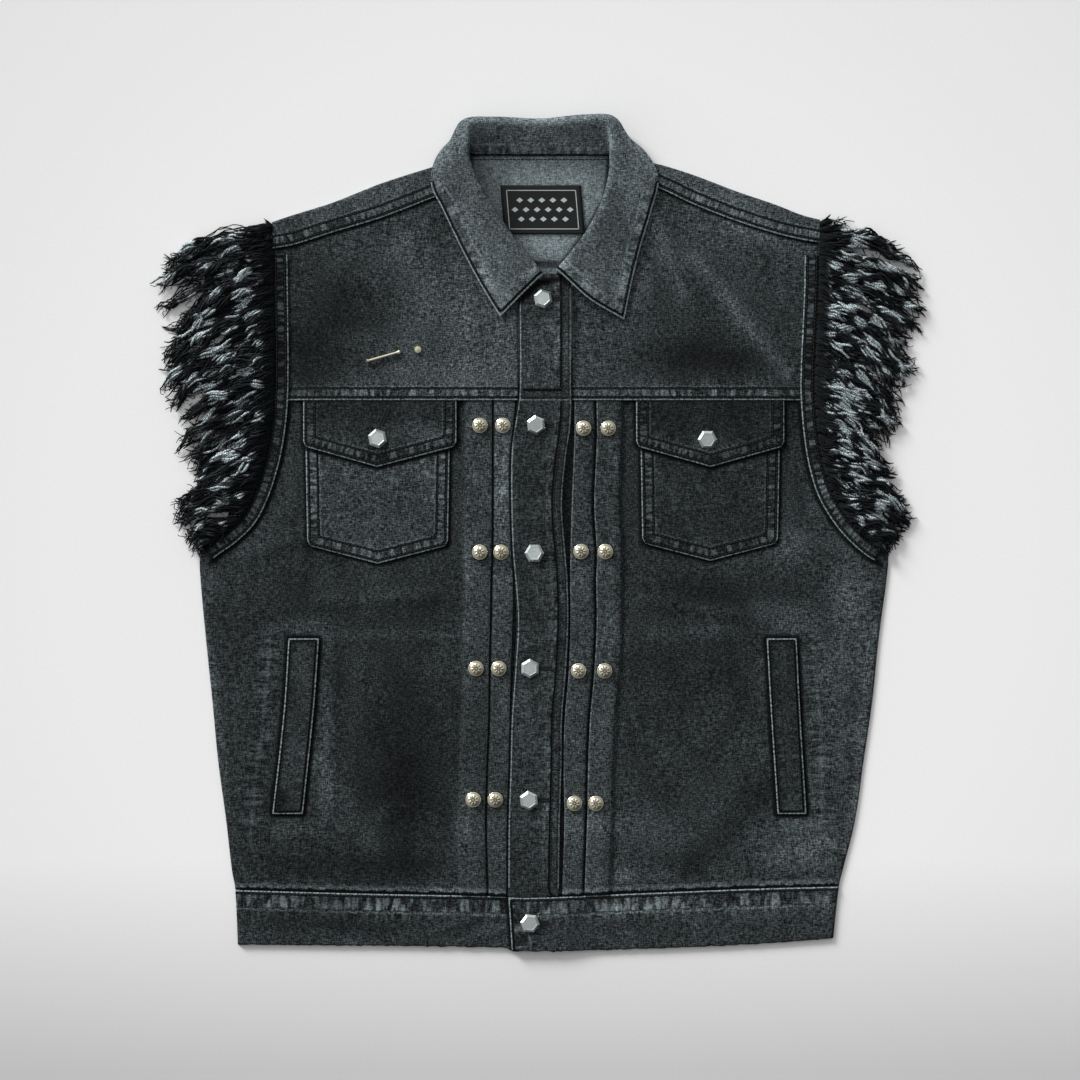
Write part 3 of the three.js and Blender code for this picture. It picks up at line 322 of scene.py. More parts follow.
def washed_and_shaded(points, base):
    """The lightness of the cloth at each point: its own, and the fades and lines that reach it, partly wash
    and wear and partly painted shade and painted highlight.
    """
    light = np.full(len(points), float(base))
    for f in WASH_AND_SHADE_FADES:
        dx, dy = points[:, 0] - f.x, points[:, 1] - f.y
        c, s = math.cos(f.turn), math.sin(f.turn)
        across, along = (dx * c + dy * s) / f.wide, (dy * c - dx * s) / f.high
        light += f.add * np.exp(-across**2 - along**2)
    for w in WEAR_AND_SHADE_LINES:
        distance, _ = nearest(points, [[(w.x0, w.y0), (w.x1, w.y1)]])
        light += w.add * np.exp(-(distance / w.half) ** 2)
    mottle = clouds(points, 26, 34, 3) + 0.35 * clouds(points, 9, 13, 8)
    return light * (1 + MOTTLE * mottle + STREAKS * clouds(points, 6, 38, 12))

# %% [markdown]
# ## Laying a sheet
#
# A grid operator gives the rows and columns of a cloth, a function puts each crossing in its place,
# and a Solidify modifier gives the thickness.

# %% From a grid to a cloth
def add_grid(bm, us, vs, place):
    """A grid with a column for each of us and a row for each of vs, its vertices moved to place(u, v)."""
    columns, rows = len(us) - 1, len(vs) - 1
    made = bmesh.ops.create_grid(bm, x_segments=columns, y_segments=rows, size=0.5)["verts"]
    for v in made:
        i, j = round((v.co.x + 0.5) * columns), round((v.co.y + 0.5) * rows)
        v.co = place(us[i], vs[j])
    return made


def face_up(bm):
    """Turns a sheet over if most of it faces down."""
    bm.normal_update()
    if sum(f.normal.z * f.calc_area() for f in bm.faces) < 0:
        bmesh.ops.reverse_faces(bm, faces=bm.faces)


def write(mesh, name, values):
    """Stores one value, or three, on each vertex."""
    values = np.asarray(values, np.float32)
    kind, field = ("FLOAT_VECTOR", "vector") if values.ndim == 2 else ("FLOAT", "value")
    mesh.attributes.new(name, kind, "POINT").data.foreach_set(field, values.ravel())


def as_mesh(bm, name):
    """Ends a bmesh and gives its mesh."""
    mesh = bpy.data.meshes.new(name)
    bm.to_mesh(mesh)
    bm.free()
    return mesh


def add_object(name, data):
    """An object at the origin, in the scene."""
    made = bpy.data.objects.new(name, data)
    bpy.context.scene.collection.objects.link(made)
    return made


def thicken(piece, thickness):
    """Gives a cloth its thickness, half to each side."""
    wall = piece.modifiers.new("thickness", "SOLIDIFY")
    wall.thickness = thickness * MM
    wall.offset = 0


def to_piece(bm, name, finish, node):
    """Makes an object in metres of a bmesh in millimetres, and lets it stand for its node."""
    mesh = as_mesh(bm, name)
    mesh.transform(Matrix.Scale(MM, 4))
    mesh.shade_smooth()
    mesh.materials.append(finish)
    piece = add_object(name, mesh)
    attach(piece, "root")
    if node:
        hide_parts(node)
    return piece


Look = namedtuple("Look", "base edges shades rim deep", defaults=((), (), None, ()))
DEEP = 0.8                       # the painted shadow beside a welt or under a flap reaches this much further
ROUND = 0.3                      # share of the thickness that an edge is rounded by
LEAST_FILL = 0.31                # the least share of its flat size that a cut fills
PIECES = {}


def lay(bm, name, look, finish, thickness=CLOTH, cut=None):
    """Finishes one cloth: marks its wear and painted shade, gives it its thickness and prints its cut."""
    face_up(bm)
    area = sum(f.calc_area() for f in bm.faces)
    piece = to_piece(bm, name + "_cloth", finish, name)
    mesh = piece.data
    place = np.empty(3 * len(mesh.vertices))
    mesh.vertices.foreach_get("co", place)
    place = place.reshape(-1, 3) / MM
    flat = place[:, :2]
    distance, arc = look.rim(place) if look.rim else nearest(flat, look.edges)
    write(mesh, "rim", np.stack([distance, arc, 0.75 + 0.5 * clouds(flat, 55, 55, 12)], axis=1))
    # Painted shadow: each point's distance from a piece that lies on it, wider beside the deep lines.
    write(mesh, "shade", np.minimum(nearest(flat, look.shades)[0], nearest(flat, look.deep)[0] - DEEP))
    # The wash's tone, with the painted shade and highlight of some fades and lines.
    write(mesh, "wash", washed_and_shaded(flat, look.base))
    thicken(piece, thickness)
    rounded = piece.modifiers.new("turned edge", "BEVEL")
    rounded.width = ROUND * thickness * MM
    rounded.segments = 2
    rounded.limit_method = "ANGLE"
    rounded.angle_limit = math.radians(65)
    wide, long = cut or np.ptp(flat, axis=0)
    area = max(min(area, wide * long), LEAST_FILL * wide * long)
    PIECES[name] = piece
    print(name, "cut", round(wide), "by", round(long), "mm,", len(mesh.polygons), "faces")
    return piece


# %% [markdown]
# ## Materials
#
# Each finish starts from what the real one is. One function adds a node with its settings and
# links, and one turns a colour as it is seen into the linear light that the shader wants.

# %% Tools for materials
def linear(colour):
    """A hex colour as it is seen, as linear red, green, blue and alpha."""
    parts = [int(colour[k:k + 2], 16) / 255 for k in (1, 3, 5)]
    return (*[c / 12.92 if c <= 0.04045 else ((c + 0.055) / 1.055) ** 2.4 for c in parts], 1)


def put(tree, kind, inputs=None, out=0, **settings):
    """Adds a node, sets it, links or fills its inputs, and gives back one of its outputs."""
    made = tree.nodes.new("ShaderNode" + kind)
    for key, value in settings.items():
        setattr(made, key, value)
    for key, value in (inputs or {}).items():
        if isinstance(value, bpy.types.NodeSocket):
            tree.links.new(value, made.inputs[key])
        else:
            made.inputs[key].default_value = value
    return made.outputs[out]


def new_material(name, roughness, **shader):
    """An empty material with its shader: the material, its tree and the shader's node."""
    made = bpy.data.materials.new(name)
    made.use_nodes = True
    shell = made.node_tree.nodes["Principled BSDF"]
    shell.inputs["Roughness"].default_value = roughness
    for key, value in shader.items():
        shell.inputs[key.replace("_", " ")].default_value = value
    return made, made.node_tree, shell


def plain(name, colour, roughness):
    """A yarn or thread of one colour."""
    made, _, shell = new_material(name, roughness, Specular_IOR_Level=0.3)
    shell.inputs["Base Color"].default_value = linear(colour)
    return made


def times(t, a, b):
    return put(t, "Math", {0: a, 1: b}, operation="MULTIPLY")


def plus(t, a, b):
    return put(t, "Math", {0: a, 1: b}, operation="ADD")


def ramp(t, value, low, high, to_low=0.0, to_high=1.0, kind="LINEAR"):
    """Turns low to high into to_low to to_high, and holds those beyond."""
    return put(t, "MapRange", {0: value, 1: low, 2: high, 3: to_low, 4: to_high}, interpolation_type=kind)


def soft(t, value, low, high, to_low=0.0, to_high=1.0):
    return ramp(t, value, low, high, to_low, to_high, "SMOOTHSTEP")


def hill(t, value, low, rise, fall, high):
    """0 outside low and high, 1 from rise to fall."""
    return times(t, soft(t, value, low, rise), soft(t, value, fall, high, 1.0, 0.0))


def split(t, vector):
    """The three parts of a vector."""
    return put(t, "SeparateXYZ", {0: vector}).node.outputs


def stored(t, name, out=2):
    """A value that was written on the vertices; out is 1 for three values."""
    return put(t, "Attribute", attribute_name=name, out=out)


# %% [markdown]
# ### Washed black denim
#
# A three and one twill of black warp over grey weft, stone washed. Its threads are 0.5 mm apart,
# too fine for this view, so the slubs are drawn as streaks of 3.4 mm, across and up the cloth. The
# lightness is worked out first, in steps: the wash with its painted shade and highlight, and the
# slubs, then the sewn rows, the worn edge and a painted shadow beside what lies on the cloth. It
# turns into a blue-grey at the end.

# %% The weave
SLUB = 0.75                      # width of a thick place in a thread, as drawn
SLUB_LONG = 3.4                  # and its length
ACROSS, UP, SPECK = 2.35, 2.0, 0.8   # how strongly the slubs of weft and warp and the specks show


def grain(t, mm, scale, detail=1.0, rough=0.5):
    """Noise with patches of 1 / scale in x, y and z."""
    stretched = put(t, "Mapping", {"Vector": mm, "Scale": scale})
    return put(t, "TexNoise", {"Vector": stretched, "Scale": 1.0, "Detail": detail, "Roughness": rough})


def weave_of(t, mm):
    """The slubs, a value round 0, and the finer specks, from 0 to 1."""
    across = grain(t, mm, (1 / SLUB_LONG, 1 / SLUB, 0.2))
    up = grain(t, mm, (1 / SLUB, 1 / SLUB_LONG, 0.2))
    speck = grain(t, mm, (0.75 / SLUB, 0.9 / SLUB, 0.2), 2.0, 0.7)
    parts = ((across, ACROSS), (up, UP), (speck, SPECK))
    parts = [times(t, plus(t, value, -0.5), share) for value, share in parts]
    return plus(t, plus(t, parts[0], parts[1]), parts[2]), speck


# %% Sewn rows
GROOVE = (0.55, 1.35)            # a stitch's groove is full as far as the first and gone at the second
ROPING, TORN, INNER = 0.23, 0.15, 0.10   # lightness of puckers between rows, torn yarn and puckers past them


def by_seam(t, rim, across, along, detail):
    """Noise that follows the nearest finished edge, with patches of 1 / across and 1 / along."""
    flat = put(t, "CombineXYZ", {0: times(t, rim[0], across), 1: times(t, rim[1], along), 2: 0.0})
    return put(t, "TexNoise", {"Vector": flat, "Scale": 1.0, "Detail": detail, "Roughness": 0.6})


def sew_rows(t, light, height, near, rim, flicker, stitches, depth, every, strength):
    """Adds rows of stitching to the lightness and the height."""
    first, end = stitches[0], stitches[-1]
    if len(stitches) == 1:
        end = first + depth
    band = hill(t, near, first + 0.3, first + 1.2, end - 1.2, end + 0.2)
    spots = soft(t, by_seam(t, rim, 0.045, 1 / every, 1.5), 0.40, 0.64)
    far_side = soft(t, near, first, end, 0.7, 1.15) if len(stitches) == 1 else 1.0
    roping = times(t, band, plus(t, times(t, spots, far_side), -0.26))
    torn = soft(t, by_seam(t, rim, 0.5, 0.5, 1.0), 0.34, 0.62)
    past = times(t, hill(t, near, end - 0.2, end + 0.9, end + 1.6, end + 3.4), torn)
    inner = times(t, hill(t, near, end + 2.0, end + 3.0, end + 3.0, end + 13.0), plus(t, spots, -0.35))
    for marks, share in ((roping, ROPING), (past, TORN), (inner, INNER)):
        light = plus(t, light, times(t, marks, times(t, strength, share)))
    height = plus(t, height, times(t, band, times(t, spots, 0.9)))
    for row in stitches:
        off = put(t, "Math", {0: plus(t, near, -row)}, operation="ABSOLUTE")
        groove = times(t, soft(t, off, *GROOVE, 1.0, 0.0), soft(t, flicker, 0.25, 0.5, 0.55, 1.0))
        light = times(t, light, plus(t, times(t, groove, -0.88), 1.0))
        height = plus(t, height, times(t, groove, -1.2))
    return light, height


# %% Marks of the fronts and of the wrong side
BAG_Y = (-285.0, -255.0, -100.0, -84.0)   # the pocket bags' lines fade in and out at these heights


def front_marks(t, light, mm, speck):
    """The frayed turning above the waistband, a painted shade along the waist seam, and the pocket bag's
    pale line and puckers.
    """
    notch = plus(t, grain(t, mm, (0.16, 0.02, 0.2), 2.5, 0.7), -0.5)
    above = plus(t, stored(t, "hem"), times(t, notch, 5.0))
    frayed = times(t, hill(t, above, 2.0, 3.2, 4.6, 8.0), soft(t, speck, 0.38, 0.60, 0.2, 1.0))
    light = plus(t, light, times(t, frayed, 0.17))
    # Painted shade: the cloth is darkened along the waist seam, with a jagged edge.
    light = times(t, light, soft(t, above, 1.6, 3.0, 0.2, 1.0))
    bag = stored(t, "bag")
    on_bag = hill(t, plus(t, split(t, mm)[1], times(t, notch, 30.0)), *BAG_Y)
    line = times(t, soft(t, bag, 0.6, 3.0, 1.0, 0.0), soft(t, speck, 0.30, 0.60, 0.4, 1.0))
    light = plus(t, light, times(t, times(t, line, on_bag), 0.065))
    beside = times(t, soft(t, bag, 6.0, 13.0, 1.0, 0.0), on_bag)
    puckers = soft(t, grain(t, mm, (0.06, 0.28, 0.2), 1.5), 0.42, 0.62, -0.6, 1.0)
    return plus(t, light, times(t, times(t, beside, puckers), 0.055))


def wrong_side_and_shade(t, light, mm, slubs, shade):
    """The paler inside of the back yoke, which is the part that lies lowest, with the collar's shadow
    painted on it.
    """
    turned_in = hill(t, split(t, mm)[2], 0.55, 0.95, 1.9, 2.3)
    # Painted shadow of the collar: a soft darkening out to 26 mm and a darker one near its seam.
    weave_and_shade = times(t, plus(t, times(t, slubs, 0.5), 1.0), soft(t, shade, 1.0, 26.0, 0.88, 1.0))
    inner = times(t, weave_and_shade, times(t, soft(t, shade, 0.2, 5.5, 0.30, 1.0), 0.47))
    return plus(t, times(t, light, plus(t, times(t, turned_in, -1.0), 1.0)), times(t, inner, turned_in))


# %% Denim
PALE_EDGE = 0.56                 # lightness of cloth worn at an edge
DARKEST = 0.03
SEEN_TO_LINEAR = 2.25            # the power that turns lightness as seen into light
TINT = (1.02, 1.24, 1.31)


def denim(name, stitches=(2.6, 10.2), depth=7.5, every=3.6, rope=1.0, worn=1.0, weave=1.0, inside=False,
          front=False):
    """Denim with worn edges. stitches are the rows' distances from a finished edge; with one row, the
    puckers reach depth further in. every is the puckers' spacing. rope, worn and weave scale the puckers,
    the pale edge and the yarns' contrast. inside shows the wrong side, front the marks of a front."""
    made, t, shell = new_material(name, 0.92, Specular_IOR_Level=0.12)
    mm = put(t, "Mapping", {"Vector": put(t, "TexCoord", out=3), "Scale": (1000, 1000, 1000)})
    rim = split(t, stored(t, "rim", 1))
    shade = stored(t, "shade")
    slubs, speck = weave_of(t, mm)
    light = times(t, stored(t, "wash"), plus(t, times(t, slubs, weave), 1.0))
    height = times(t, slubs, 0.24)
    near = plus(t, rim[0], times(t, plus(t, by_seam(t, rim, 0.0, 0.09, 2.0), -0.5), 1.1))
    flicker = by_seam(t, rim, 0.3, 0.45, 2.5)
    if stitches:
        light, height = sew_rows(t, light, height, near, rim, flicker, stitches, depth, every,
                                 times(t, rim[2], rope))
    edge = times(t, soft(t, near, *GROOVE, 1.0, 0.0), soft(t, flicker, 0.34, 0.62, 0.25, 1.0))
    pale = times(t, edge, worn)
    light = plus(t, times(t, light, plus(t, times(t, pale, -1.0), 1.0)), times(t, pale, PALE_EDGE))
    # Painted shadow: darker beside a piece that lies on the cloth.
    light = times(t, light, soft(t, shade, 0.2, 4.2, 0.25, 1.0))
    if front:
        light = front_marks(t, light, mm, speck)
    if inside:
        light = wrong_side_and_shade(t, light, mm, slubs, shade)
    light = put(t, "Math", {0: light, 1: DARKEST}, operation="MAXIMUM")
    power = put(t, "Math", {0: light, 1: SEEN_TO_LINEAR}, operation="POWER")
    tinted = put(t, "VectorMath", {0: TINT, "Scale": power}, operation="SCALE")
    t.links.new(tinted, shell.inputs["Base Color"])
    bump = put(t, "Bump", {"Strength": 0.6, "Distance": 0.0004, "Height": height})
    t.links.new(bump, shell.inputs["Normal"])
    return made


DENIM = denim("stone_washed_black_denim")
PLAIN_DENIM = denim("stone_washed_black_denim_unstitched", stitches=(), worn=0.62)
FRONT_DENIM = denim("stone_washed_black_denim_front", stitches=(), worn=0.62, front=True)
YOKE_DENIM = denim("stone_washed_black_denim_inside_out", inside=True)
COLLAR_DENIM = denim("faded_black_denim_topstitched", stitches=(2.3,), every=6.0, weave=0.75)
WELT_DENIM = denim("stone_washed_black_denim_edge_stitched", stitches=(2.3,), rope=0.4)
print("materials:", len(bpy.data.materials))

# %% [markdown]
# ## The floor, the light and the camera
#
# The vest was shot from straight above on white. A long lens 3 m up keeps the outline true. One
# broad, far light comes in low from the picture's upper left, past the wearer's right shoulder,
# and brings out the folds. The sky is bright on that side and dim on the other, which the metal
# mirrors. The paper's colour is darkened below the hem, a painted shade for where it rolls away
# from the light, and a little in the corners, a painted shade too.

# %% Floor, lights and camera
PHOTO_WIDTH = 1080 * 0.87        # what the photograph spans at the vest, in millimetres
PHOTO_DOWN = -7.4                # the photograph's middle is this far below the origin
CAMERA_UP = 3.0                  # metres
SENSOR = 36.0
PAPER_SIZE = 4.0                 # metres from the middle to each side
PAPER_SHADE_Y = (-0.470, -0.285)        # the paper's painted shade is darkest at the first and gone from the second on
SKY_GLOW = (0.06, 1.05)          # on the dim side and on the bright one

paper, t, shell = new_material("matt_white_paper", 0.95, Specular_IOR_Level=0.1)
place = put(t, "TexCoord", out=3)
tone = ramp(t, put(t, "TexNoise", {"Vector": place, "Scale": 400.0, "Detail": 3.0}), 0.3, 0.7, 0.81, 0.83)
# Painted shade: the paper is darker towards the bottom and in the far corners.
roll = ramp(t, split(t, place)[1], *PAPER_SHADE_Y, 0.67, 1.0)
corner_shade = ramp(t, put(t, "VectorMath", {0: place}, out=1, operation="LENGTH"), 0.42, 0.66, 1.0, 0.93)
tone = times(t, tone, times(t, roll, corner_shade))
t.links.new(put(t, "CombineXYZ", {0: tone, 1: tone, 2: tone}), shell.inputs["Base Color"])

bm = bmesh.new()
bmesh.ops.create_grid(bm, x_segments=2, y_segments=2, size=PAPER_SIZE)
floor = add_object("floor", as_mesh(bm, "floor"))
floor.data.materials.append(paper)

world = bpy.data.worlds.new("studio")
world.use_nodes = True
t = world.node_tree
way = split(t, put(t, "TexCoord", out=0))
bright_side = plus(t, times(t, way[0], -0.45), times(t, way[1], 0.75))
t.links.new(ramp(t, bright_side, -0.8, 0.8, *SKY_GLOW), t.nodes["Background"].inputs["Strength"])
t.nodes["Background"].inputs["Color"].default_value = (1.0, 1.0, 1.0, 1)
bpy.context.scene.world = world

KEY_FROM = Vector((-2.6, 2.9, 1.5))   # the way to the light
sun = bpy.data.lights.new("key_light", "SUN")
sun.energy = 3.9
sun.angle = math.radians(20)
lamp = add_object("key_light", sun)
lamp.rotation_euler = (-KEY_FROM).to_track_quat("-Z", "Y").to_euler()

camera = bpy.data.cameras.new("camera")
camera.sensor_width = SENSOR
camera.lens = SENSOR * CAMERA_UP * 1000 / PHOTO_WIDTH
camera.clip_end = 50
eye = add_object("camera", camera)
eye.location = (0, PHOTO_DOWN * MM, CAMERA_UP)
bpy.context.scene.camera = eye
bpy.context.scene.view_settings.view_transform = "Standard"
print("lens:", round(camera.lens), "mm")

# %% [markdown]
# ## The back
#
# The back lies flat on the floor. Its yoke turns over both shoulders onto the front, where its edge
# is stitched down; between the shoulders its pale inner side shows in the neck.

# %% Back panel and back waistband
SIDE_INSET = 2.1                 # the back stays this far inside the fronts' turned sides
BAND_INSET = 3.2


def back_edge(side, y):
    """The back's side at y, in from the front's: more below the armhole, where the front turns down."""
    return outline(side, y) + WAY[side] * mix(SIDE_INSET, 0.3, smooth((y - ARMPIT_Y) / 8))


def across(left_of, right_of, height):
    """A place on a sheet between two side lines: u is the share across, v the y."""
    def place(u, v):
        x = mix(left_of(v), right_of(v), u)
        return Vector((x, v, height(x, v)))
    return place


def shares(count):
    """Even values from 0 to 1."""
    return [k / count for k in range(count + 1)]


bm = bmesh.new()
add_grid(bm, shares(60), steps(HEM_Y + GAP, ARMPIT_Y, 6) + steps(ARMPIT_Y + 3, BACK_YOKE_Y - GAP, 4),
         across(lambda y: back_edge("right", y), lambda y: back_edge("left", y), lambda x, y: layer(0)))
hem_seam = [(-300, HEM_Y), (300, HEM_Y)]
lay(bm, "back_panel", Look(0.17, edges=[hem_seam]), DENIM)

band_flat = across(lambda y: side_of["right"](y) + BAND_INSET, lambda y: side_of["left"](y) - BAND_INSET,
                   lambda x, y: layer(0))


def back_band_place(u, v):
    """The back's hem stays hidden where the front's rises."""
    p = band_flat(u, v)
    p.y -= min(0, hem_drop(p.x)) * (HEM_Y - v) / BAND_DEPTH
    return p


bm = bmesh.new()
add_grid(bm, shares(60), steps(HEM_Y - BAND_DEPTH, HEM_Y, 6), back_band_place)
lay(bm, "back_waistband", Look(0.2, edges=[hem_seam]), DENIM)

# %% Back yoke
SHOULDER_BEND = 1.5
UNDER_COLLAR = 2.5               # the neck seam's allowance under the collar
LAP_RIGHT, LAP_LEFT = -70, 72
ARM_TOP = {"right": -233.0, "left": 243.5}


def along_armhole(x, y):
    """Moves a yoke's columns in or out, so that its outer edge keeps to the armhole."""
    side = "right" if x < 0 else "left"
    return x * armhole_of[side](y) / ARM_TOP[side]


def bend_y(x):
    return shoulder_top(x) - CLOTH / 2 - SHOULDER_BEND


def yoke_flat(u, v):
    top = bend_y(u) if u <= LAP_RIGHT or u >= LAP_LEFT else BACK_NECK_Y + UNDER_COLLAR
    y = mix(BACK_YOKE_Y, top, v)
    return Vector((along_armhole(u, y), y, layer(0)))


def yoke_lap(u, v):
    """Round the shoulder's edge for v up to 1, and then down the front to the stitched edge."""
    if v <= 1:
        angle = (v - 0.5) * math.pi
        y = bend_y(u) + SHOULDER_BEND * math.cos(angle)
        z = layer(1) + SHOULDER_BEND * math.sin(angle)
    else:
        y = mix(bend_y(u), shoulder_seam(u), v - 1)
        z = layer(2) + 0.35 * math.sin(math.pi * (v - 1)) * (1 + noise.noise((u / 9, v * 2, 4)))
    return Vector((along_armhole(u, y), y, z))


right_columns, left_columns = steps(ARM_TOP["right"], LAP_RIGHT), steps(LAP_LEFT, ARM_TOP["left"])
bm = bmesh.new()
add_grid(bm, right_columns + steps(LAP_RIGHT, LAP_LEFT)[1:-1] + left_columns, shares(40), yoke_flat)
for columns in (right_columns, left_columns):
    add_grid(bm, columns, shares(8) + [1 + s for s in shares(10)[1:]], yoke_lap)
bmesh.ops.remove_doubles(bm, verts=bm.verts, dist=0.02)
bmesh.ops.recalc_face_normals(bm, faces=bm.faces)
lap_edges = [
    [(along_armhole(x, shoulder_seam(x)), shoulder_seam(x)) for x in steps(inner, ARM_TOP[side], 8)]
    for side, inner in (("right", LAP_RIGHT), ("left", LAP_LEFT))
]


def yoke_rim(place):
    """Only the laps on the front have the worn and stitched edge."""
    distance, arc = nearest(place[:, :2], lap_edges)
    return np.where(place[:, 2] > layer(1), distance, 100.0), arc


# The collar's painted shadow falls along this line on the yoke.
collar_inside = [(-62, 327), (-58, 290), (-40, 258), (-12, 233), (20, 232), (40, 258), (58, 290), (62, 327)]
lay(bm, "back_yoke", Look(0.215, rim=yoke_rim, shades=[collar_inside]), YOKE_DENIM)

# %% [markdown]
# ## The front yokes
#
# A front yoke hangs from the shoulder seam and holds the pleats and the flap at its lower edge,
# so it lies higher there. The edge is turned under and stitched twice, which ropes it in the wash.

# %% Front yokes
def yoke_height(x, y):
    from_armhole = abs(outline("right" if x < 0 else "left", y) - x)
    over_pleats = smooth((from_armhole - 10) / 20) * smooth(1 - (y - YOKE_Y) / 40)
    return layer(1) + bulge(x, y) + over_pleats * 2 * STEP


def yoke_top(x):
    under_lap = shoulder_seam(x) + SHOULDER_LAP
    return min(under_lap, neckline(x)) if NECKLINES[0].x < x < NECKLINES[-1].x else under_lap


def yoke_place(u, v):
    y = mix(YOKE_Y, yoke_top(u), v)
    x = along_armhole(u, y)
    return Vector((x, y, yoke_height(x, y)))


YOKE_SPANS = {"right": (ARM_TOP["right"], -19.5), "left": (28.5, ARM_TOP["left"])}
for (side, (x0, x1)), lap in zip(YOKE_SPANS.items(), lap_edges):
    bm = bmesh.new()
    add_grid(bm, steps(x0, x1), [v**1.15 for v in shares(64)], yoke_place)
    # Painted shadow under the back yoke's lap.
    lay(bm, "front_yoke_" + side, Look(0.215, edges=[[(x0, YOKE_Y), (x1, YOKE_Y)]], shades=[lap]), DENIM)

# %% [markdown]
# ## The fronts and their pleats
#
# Each front is one sheet. Across it, the section starts at the table on the side seam, turns
# up onto the back, runs flat, and then folds twice: over the top to a fold edge, back
# underneath to the tuck and forward again, as a knife pleat is pressed.

# %% The fronts
def arc(centre_x, centre_z, radius, start, end, count):
    """Points of an arc in the section, angles in degrees from the x axis, without its first point."""
    made = []
    for k in range(1, count + 1):
        angle = math.radians(mix(start, end, k / count))
        made.append((centre_x + radius * math.cos(angle), centre_z + radius * math.sin(angle)))
    return made


def run(points, x, z, count):
    """Adds a straight stretch from the last point."""
    x0, z0 = points[-1]
    points += [(mix(x0, x, k / count), mix(z0, z, k / count)) for k in range(1, count + 1)]


def climb(points, x, z, count):
    """Adds a soft step from the last point."""
    x0, z0 = points[-1]
    points += [(mix(x0, x, k / count), mix(z0, z, smooth(k / count))) for k in range(1, count + 1)]


FOLD_R = STEP / 2
EDGE_IN = CLOTH / 2 + FOLD_R     # from a fold's outer edge to the middle of its bend
SIDE_BEND = FOLD_R + 0.75        # radius of the front's turned side
FOLD_LINES = {"right": ("outer1", "outer2"), "left": ("inner2", "inner1")}   # outer pleat first


def knife(points, way, tuck, fold):
    """From the top of the pleat: to its fold edge, back to the tuck, and forward on the lowest layer."""
    run(points, fold - way * EDGE_IN, layer(3), 7)
    turn = (90, -90) if way > 0 else (90, 270)
    points += arc(fold - way * EDGE_IN, layer(2.5), FOLD_R, *turn, 6)
    run(points, tuck + way * EDGE_IN, layer(2), 5)
    turn = (90, 270) if way > 0 else (90, -90)
    points += arc(tuck + way * EDGE_IN, layer(1.5), FOLD_R, *turn, 6)


def front_section(y, side):
    """x and z across one front at y, from the side seam to the middle."""
    way = WAY[side]
    fold1, fold2 = (line_of[name](y) for name in FOLD_LINES[side])
    outer = outline(side, y)
    turned = 1 - smooth((y - ARMPIT_Y + 5) / 8)
    edge = outer + way * CLOTH / 2 * turned
    points = [(edge, mix(layer(1), 0.2, turned))]
    for k in range(8):
        angle = math.radians(90 * k / 7)
        flat_x = outer + way * (0.8 + 0.32 * k)
        x = mix(flat_x, edge + way * SIDE_BEND * (1 - math.cos(angle)), turned)
        points.append((x, mix(layer(1), layer(1) - SIDE_BEND * (1 - math.sin(angle)), turned)))
    tuck1 = fold1 - way * PLEAT_DEPTH
    tuck2 = fold1 + way * PLEAT_PITCH
    run(points, tuck1 - way * 5, layer(1), 66)
    climb(points, tuck1 - way * 0.6, layer(3), 6)
    knife(points, way, tuck1, fold1)
    run(points, fold1 + way * 0.9, layer(1), 6)
    climb(points, fold1 + way * 3.6, layer(3), 4)
    knife(points, way, tuck2, fold2)
    if side == "right":
        run(points, line_of["edge"](y) - 1.8, layer(1), 3)
    else:
        run(points, fold2 - 0.5, layer(1), 3)
        climb(points, line_of["seam"](y) - 1, layer(1) + CLOTH, 3)
        run(points, line_of["seam"](y) - 8, layer(1) + CLOTH, 2)
    return points


def armhole_edge(side, inwards=0.0, low=ARMPIT_Y, high=262.0, spacing=6.0):
    """The armhole's edge in plan, or a line that far inside it."""
    line = []
    out = -WAY[side]
    for y in steps(low, high, spacing):
        below, above = max(ARMPIT_Y, y - 2), min(268, y + 2)
        slope = (armhole_of[side](above) - armhole_of[side](below)) / (above - below)
        length = math.hypot(1, slope)
        line.append((armhole_of[side](y) - inwards * out / length, y + inwards * out * slope / length))
    return line


POCKET_PADS = {
    "right": {"x0": -204, "x1": -78, "middle": -141, "top": 100, "corner": -12, "point": -28},
    "left": {"x0": 87, "x1": 208.5, "middle": 148, "top": 100, "corner": -10, "point": -25.5},
}
FLAPS = {
    "right": {"x0": -205.5, "x1": -72.5, "middle": -141.5, "top": YOKE_Y - GAP, "corner": 74, "point": 56},
    "left": {"x0": 83.5, "x1": 212, "middle": 148, "top": YOKE_Y - GAP, "corner": 74, "point": 56},
}
POCKET_TAPER = 0.03              # a pocket is this much narrower below
WELT_Y = (-245.5, -93)
WELTS = table("y right0 right1 left0 left1", [
    (-93, -218.5, -192, 197, 223), (-155, -222.5, -196.5, 200.5, 226),
    (-245.5, -232.5, -206, 206.5, 231.5),
])
welt_of = {name: curve(WELTS, "y", name) for name in WELTS[0]._fields[1:]}


def pad_outline(pad, taper=0.0, inwards=0.0):
    """The two sides and the pointed bottom of a pocket or flap, from top to top."""
    half0, half1 = pad["middle"] - pad["x0"], pad["x1"] - pad["middle"]
    drop0, drop1 = (pad["corner"] - pad["point"]) / half0, (pad["corner"] - pad["point"]) / half1
    low0, low1 = half0 * (1 - taper) - inwards, half1 * (1 - taper) - inwards
    lift0, lift1 = inwards * math.hypot(1, drop0), inwards * math.hypot(1, drop1)
    return [
        (pad["middle"] - half0 + inwards, pad["top"]),
        (pad["middle"] - low0, pad["point"] + low0 * drop0 + lift0),
        (pad["middle"], pad["point"] + (lift0 + lift1) / 2),
        (pad["middle"] + low1, pad["point"] + low1 * drop1 + lift1),
        (pad["middle"] + half1 - inwards, pad["top"]),
    ]


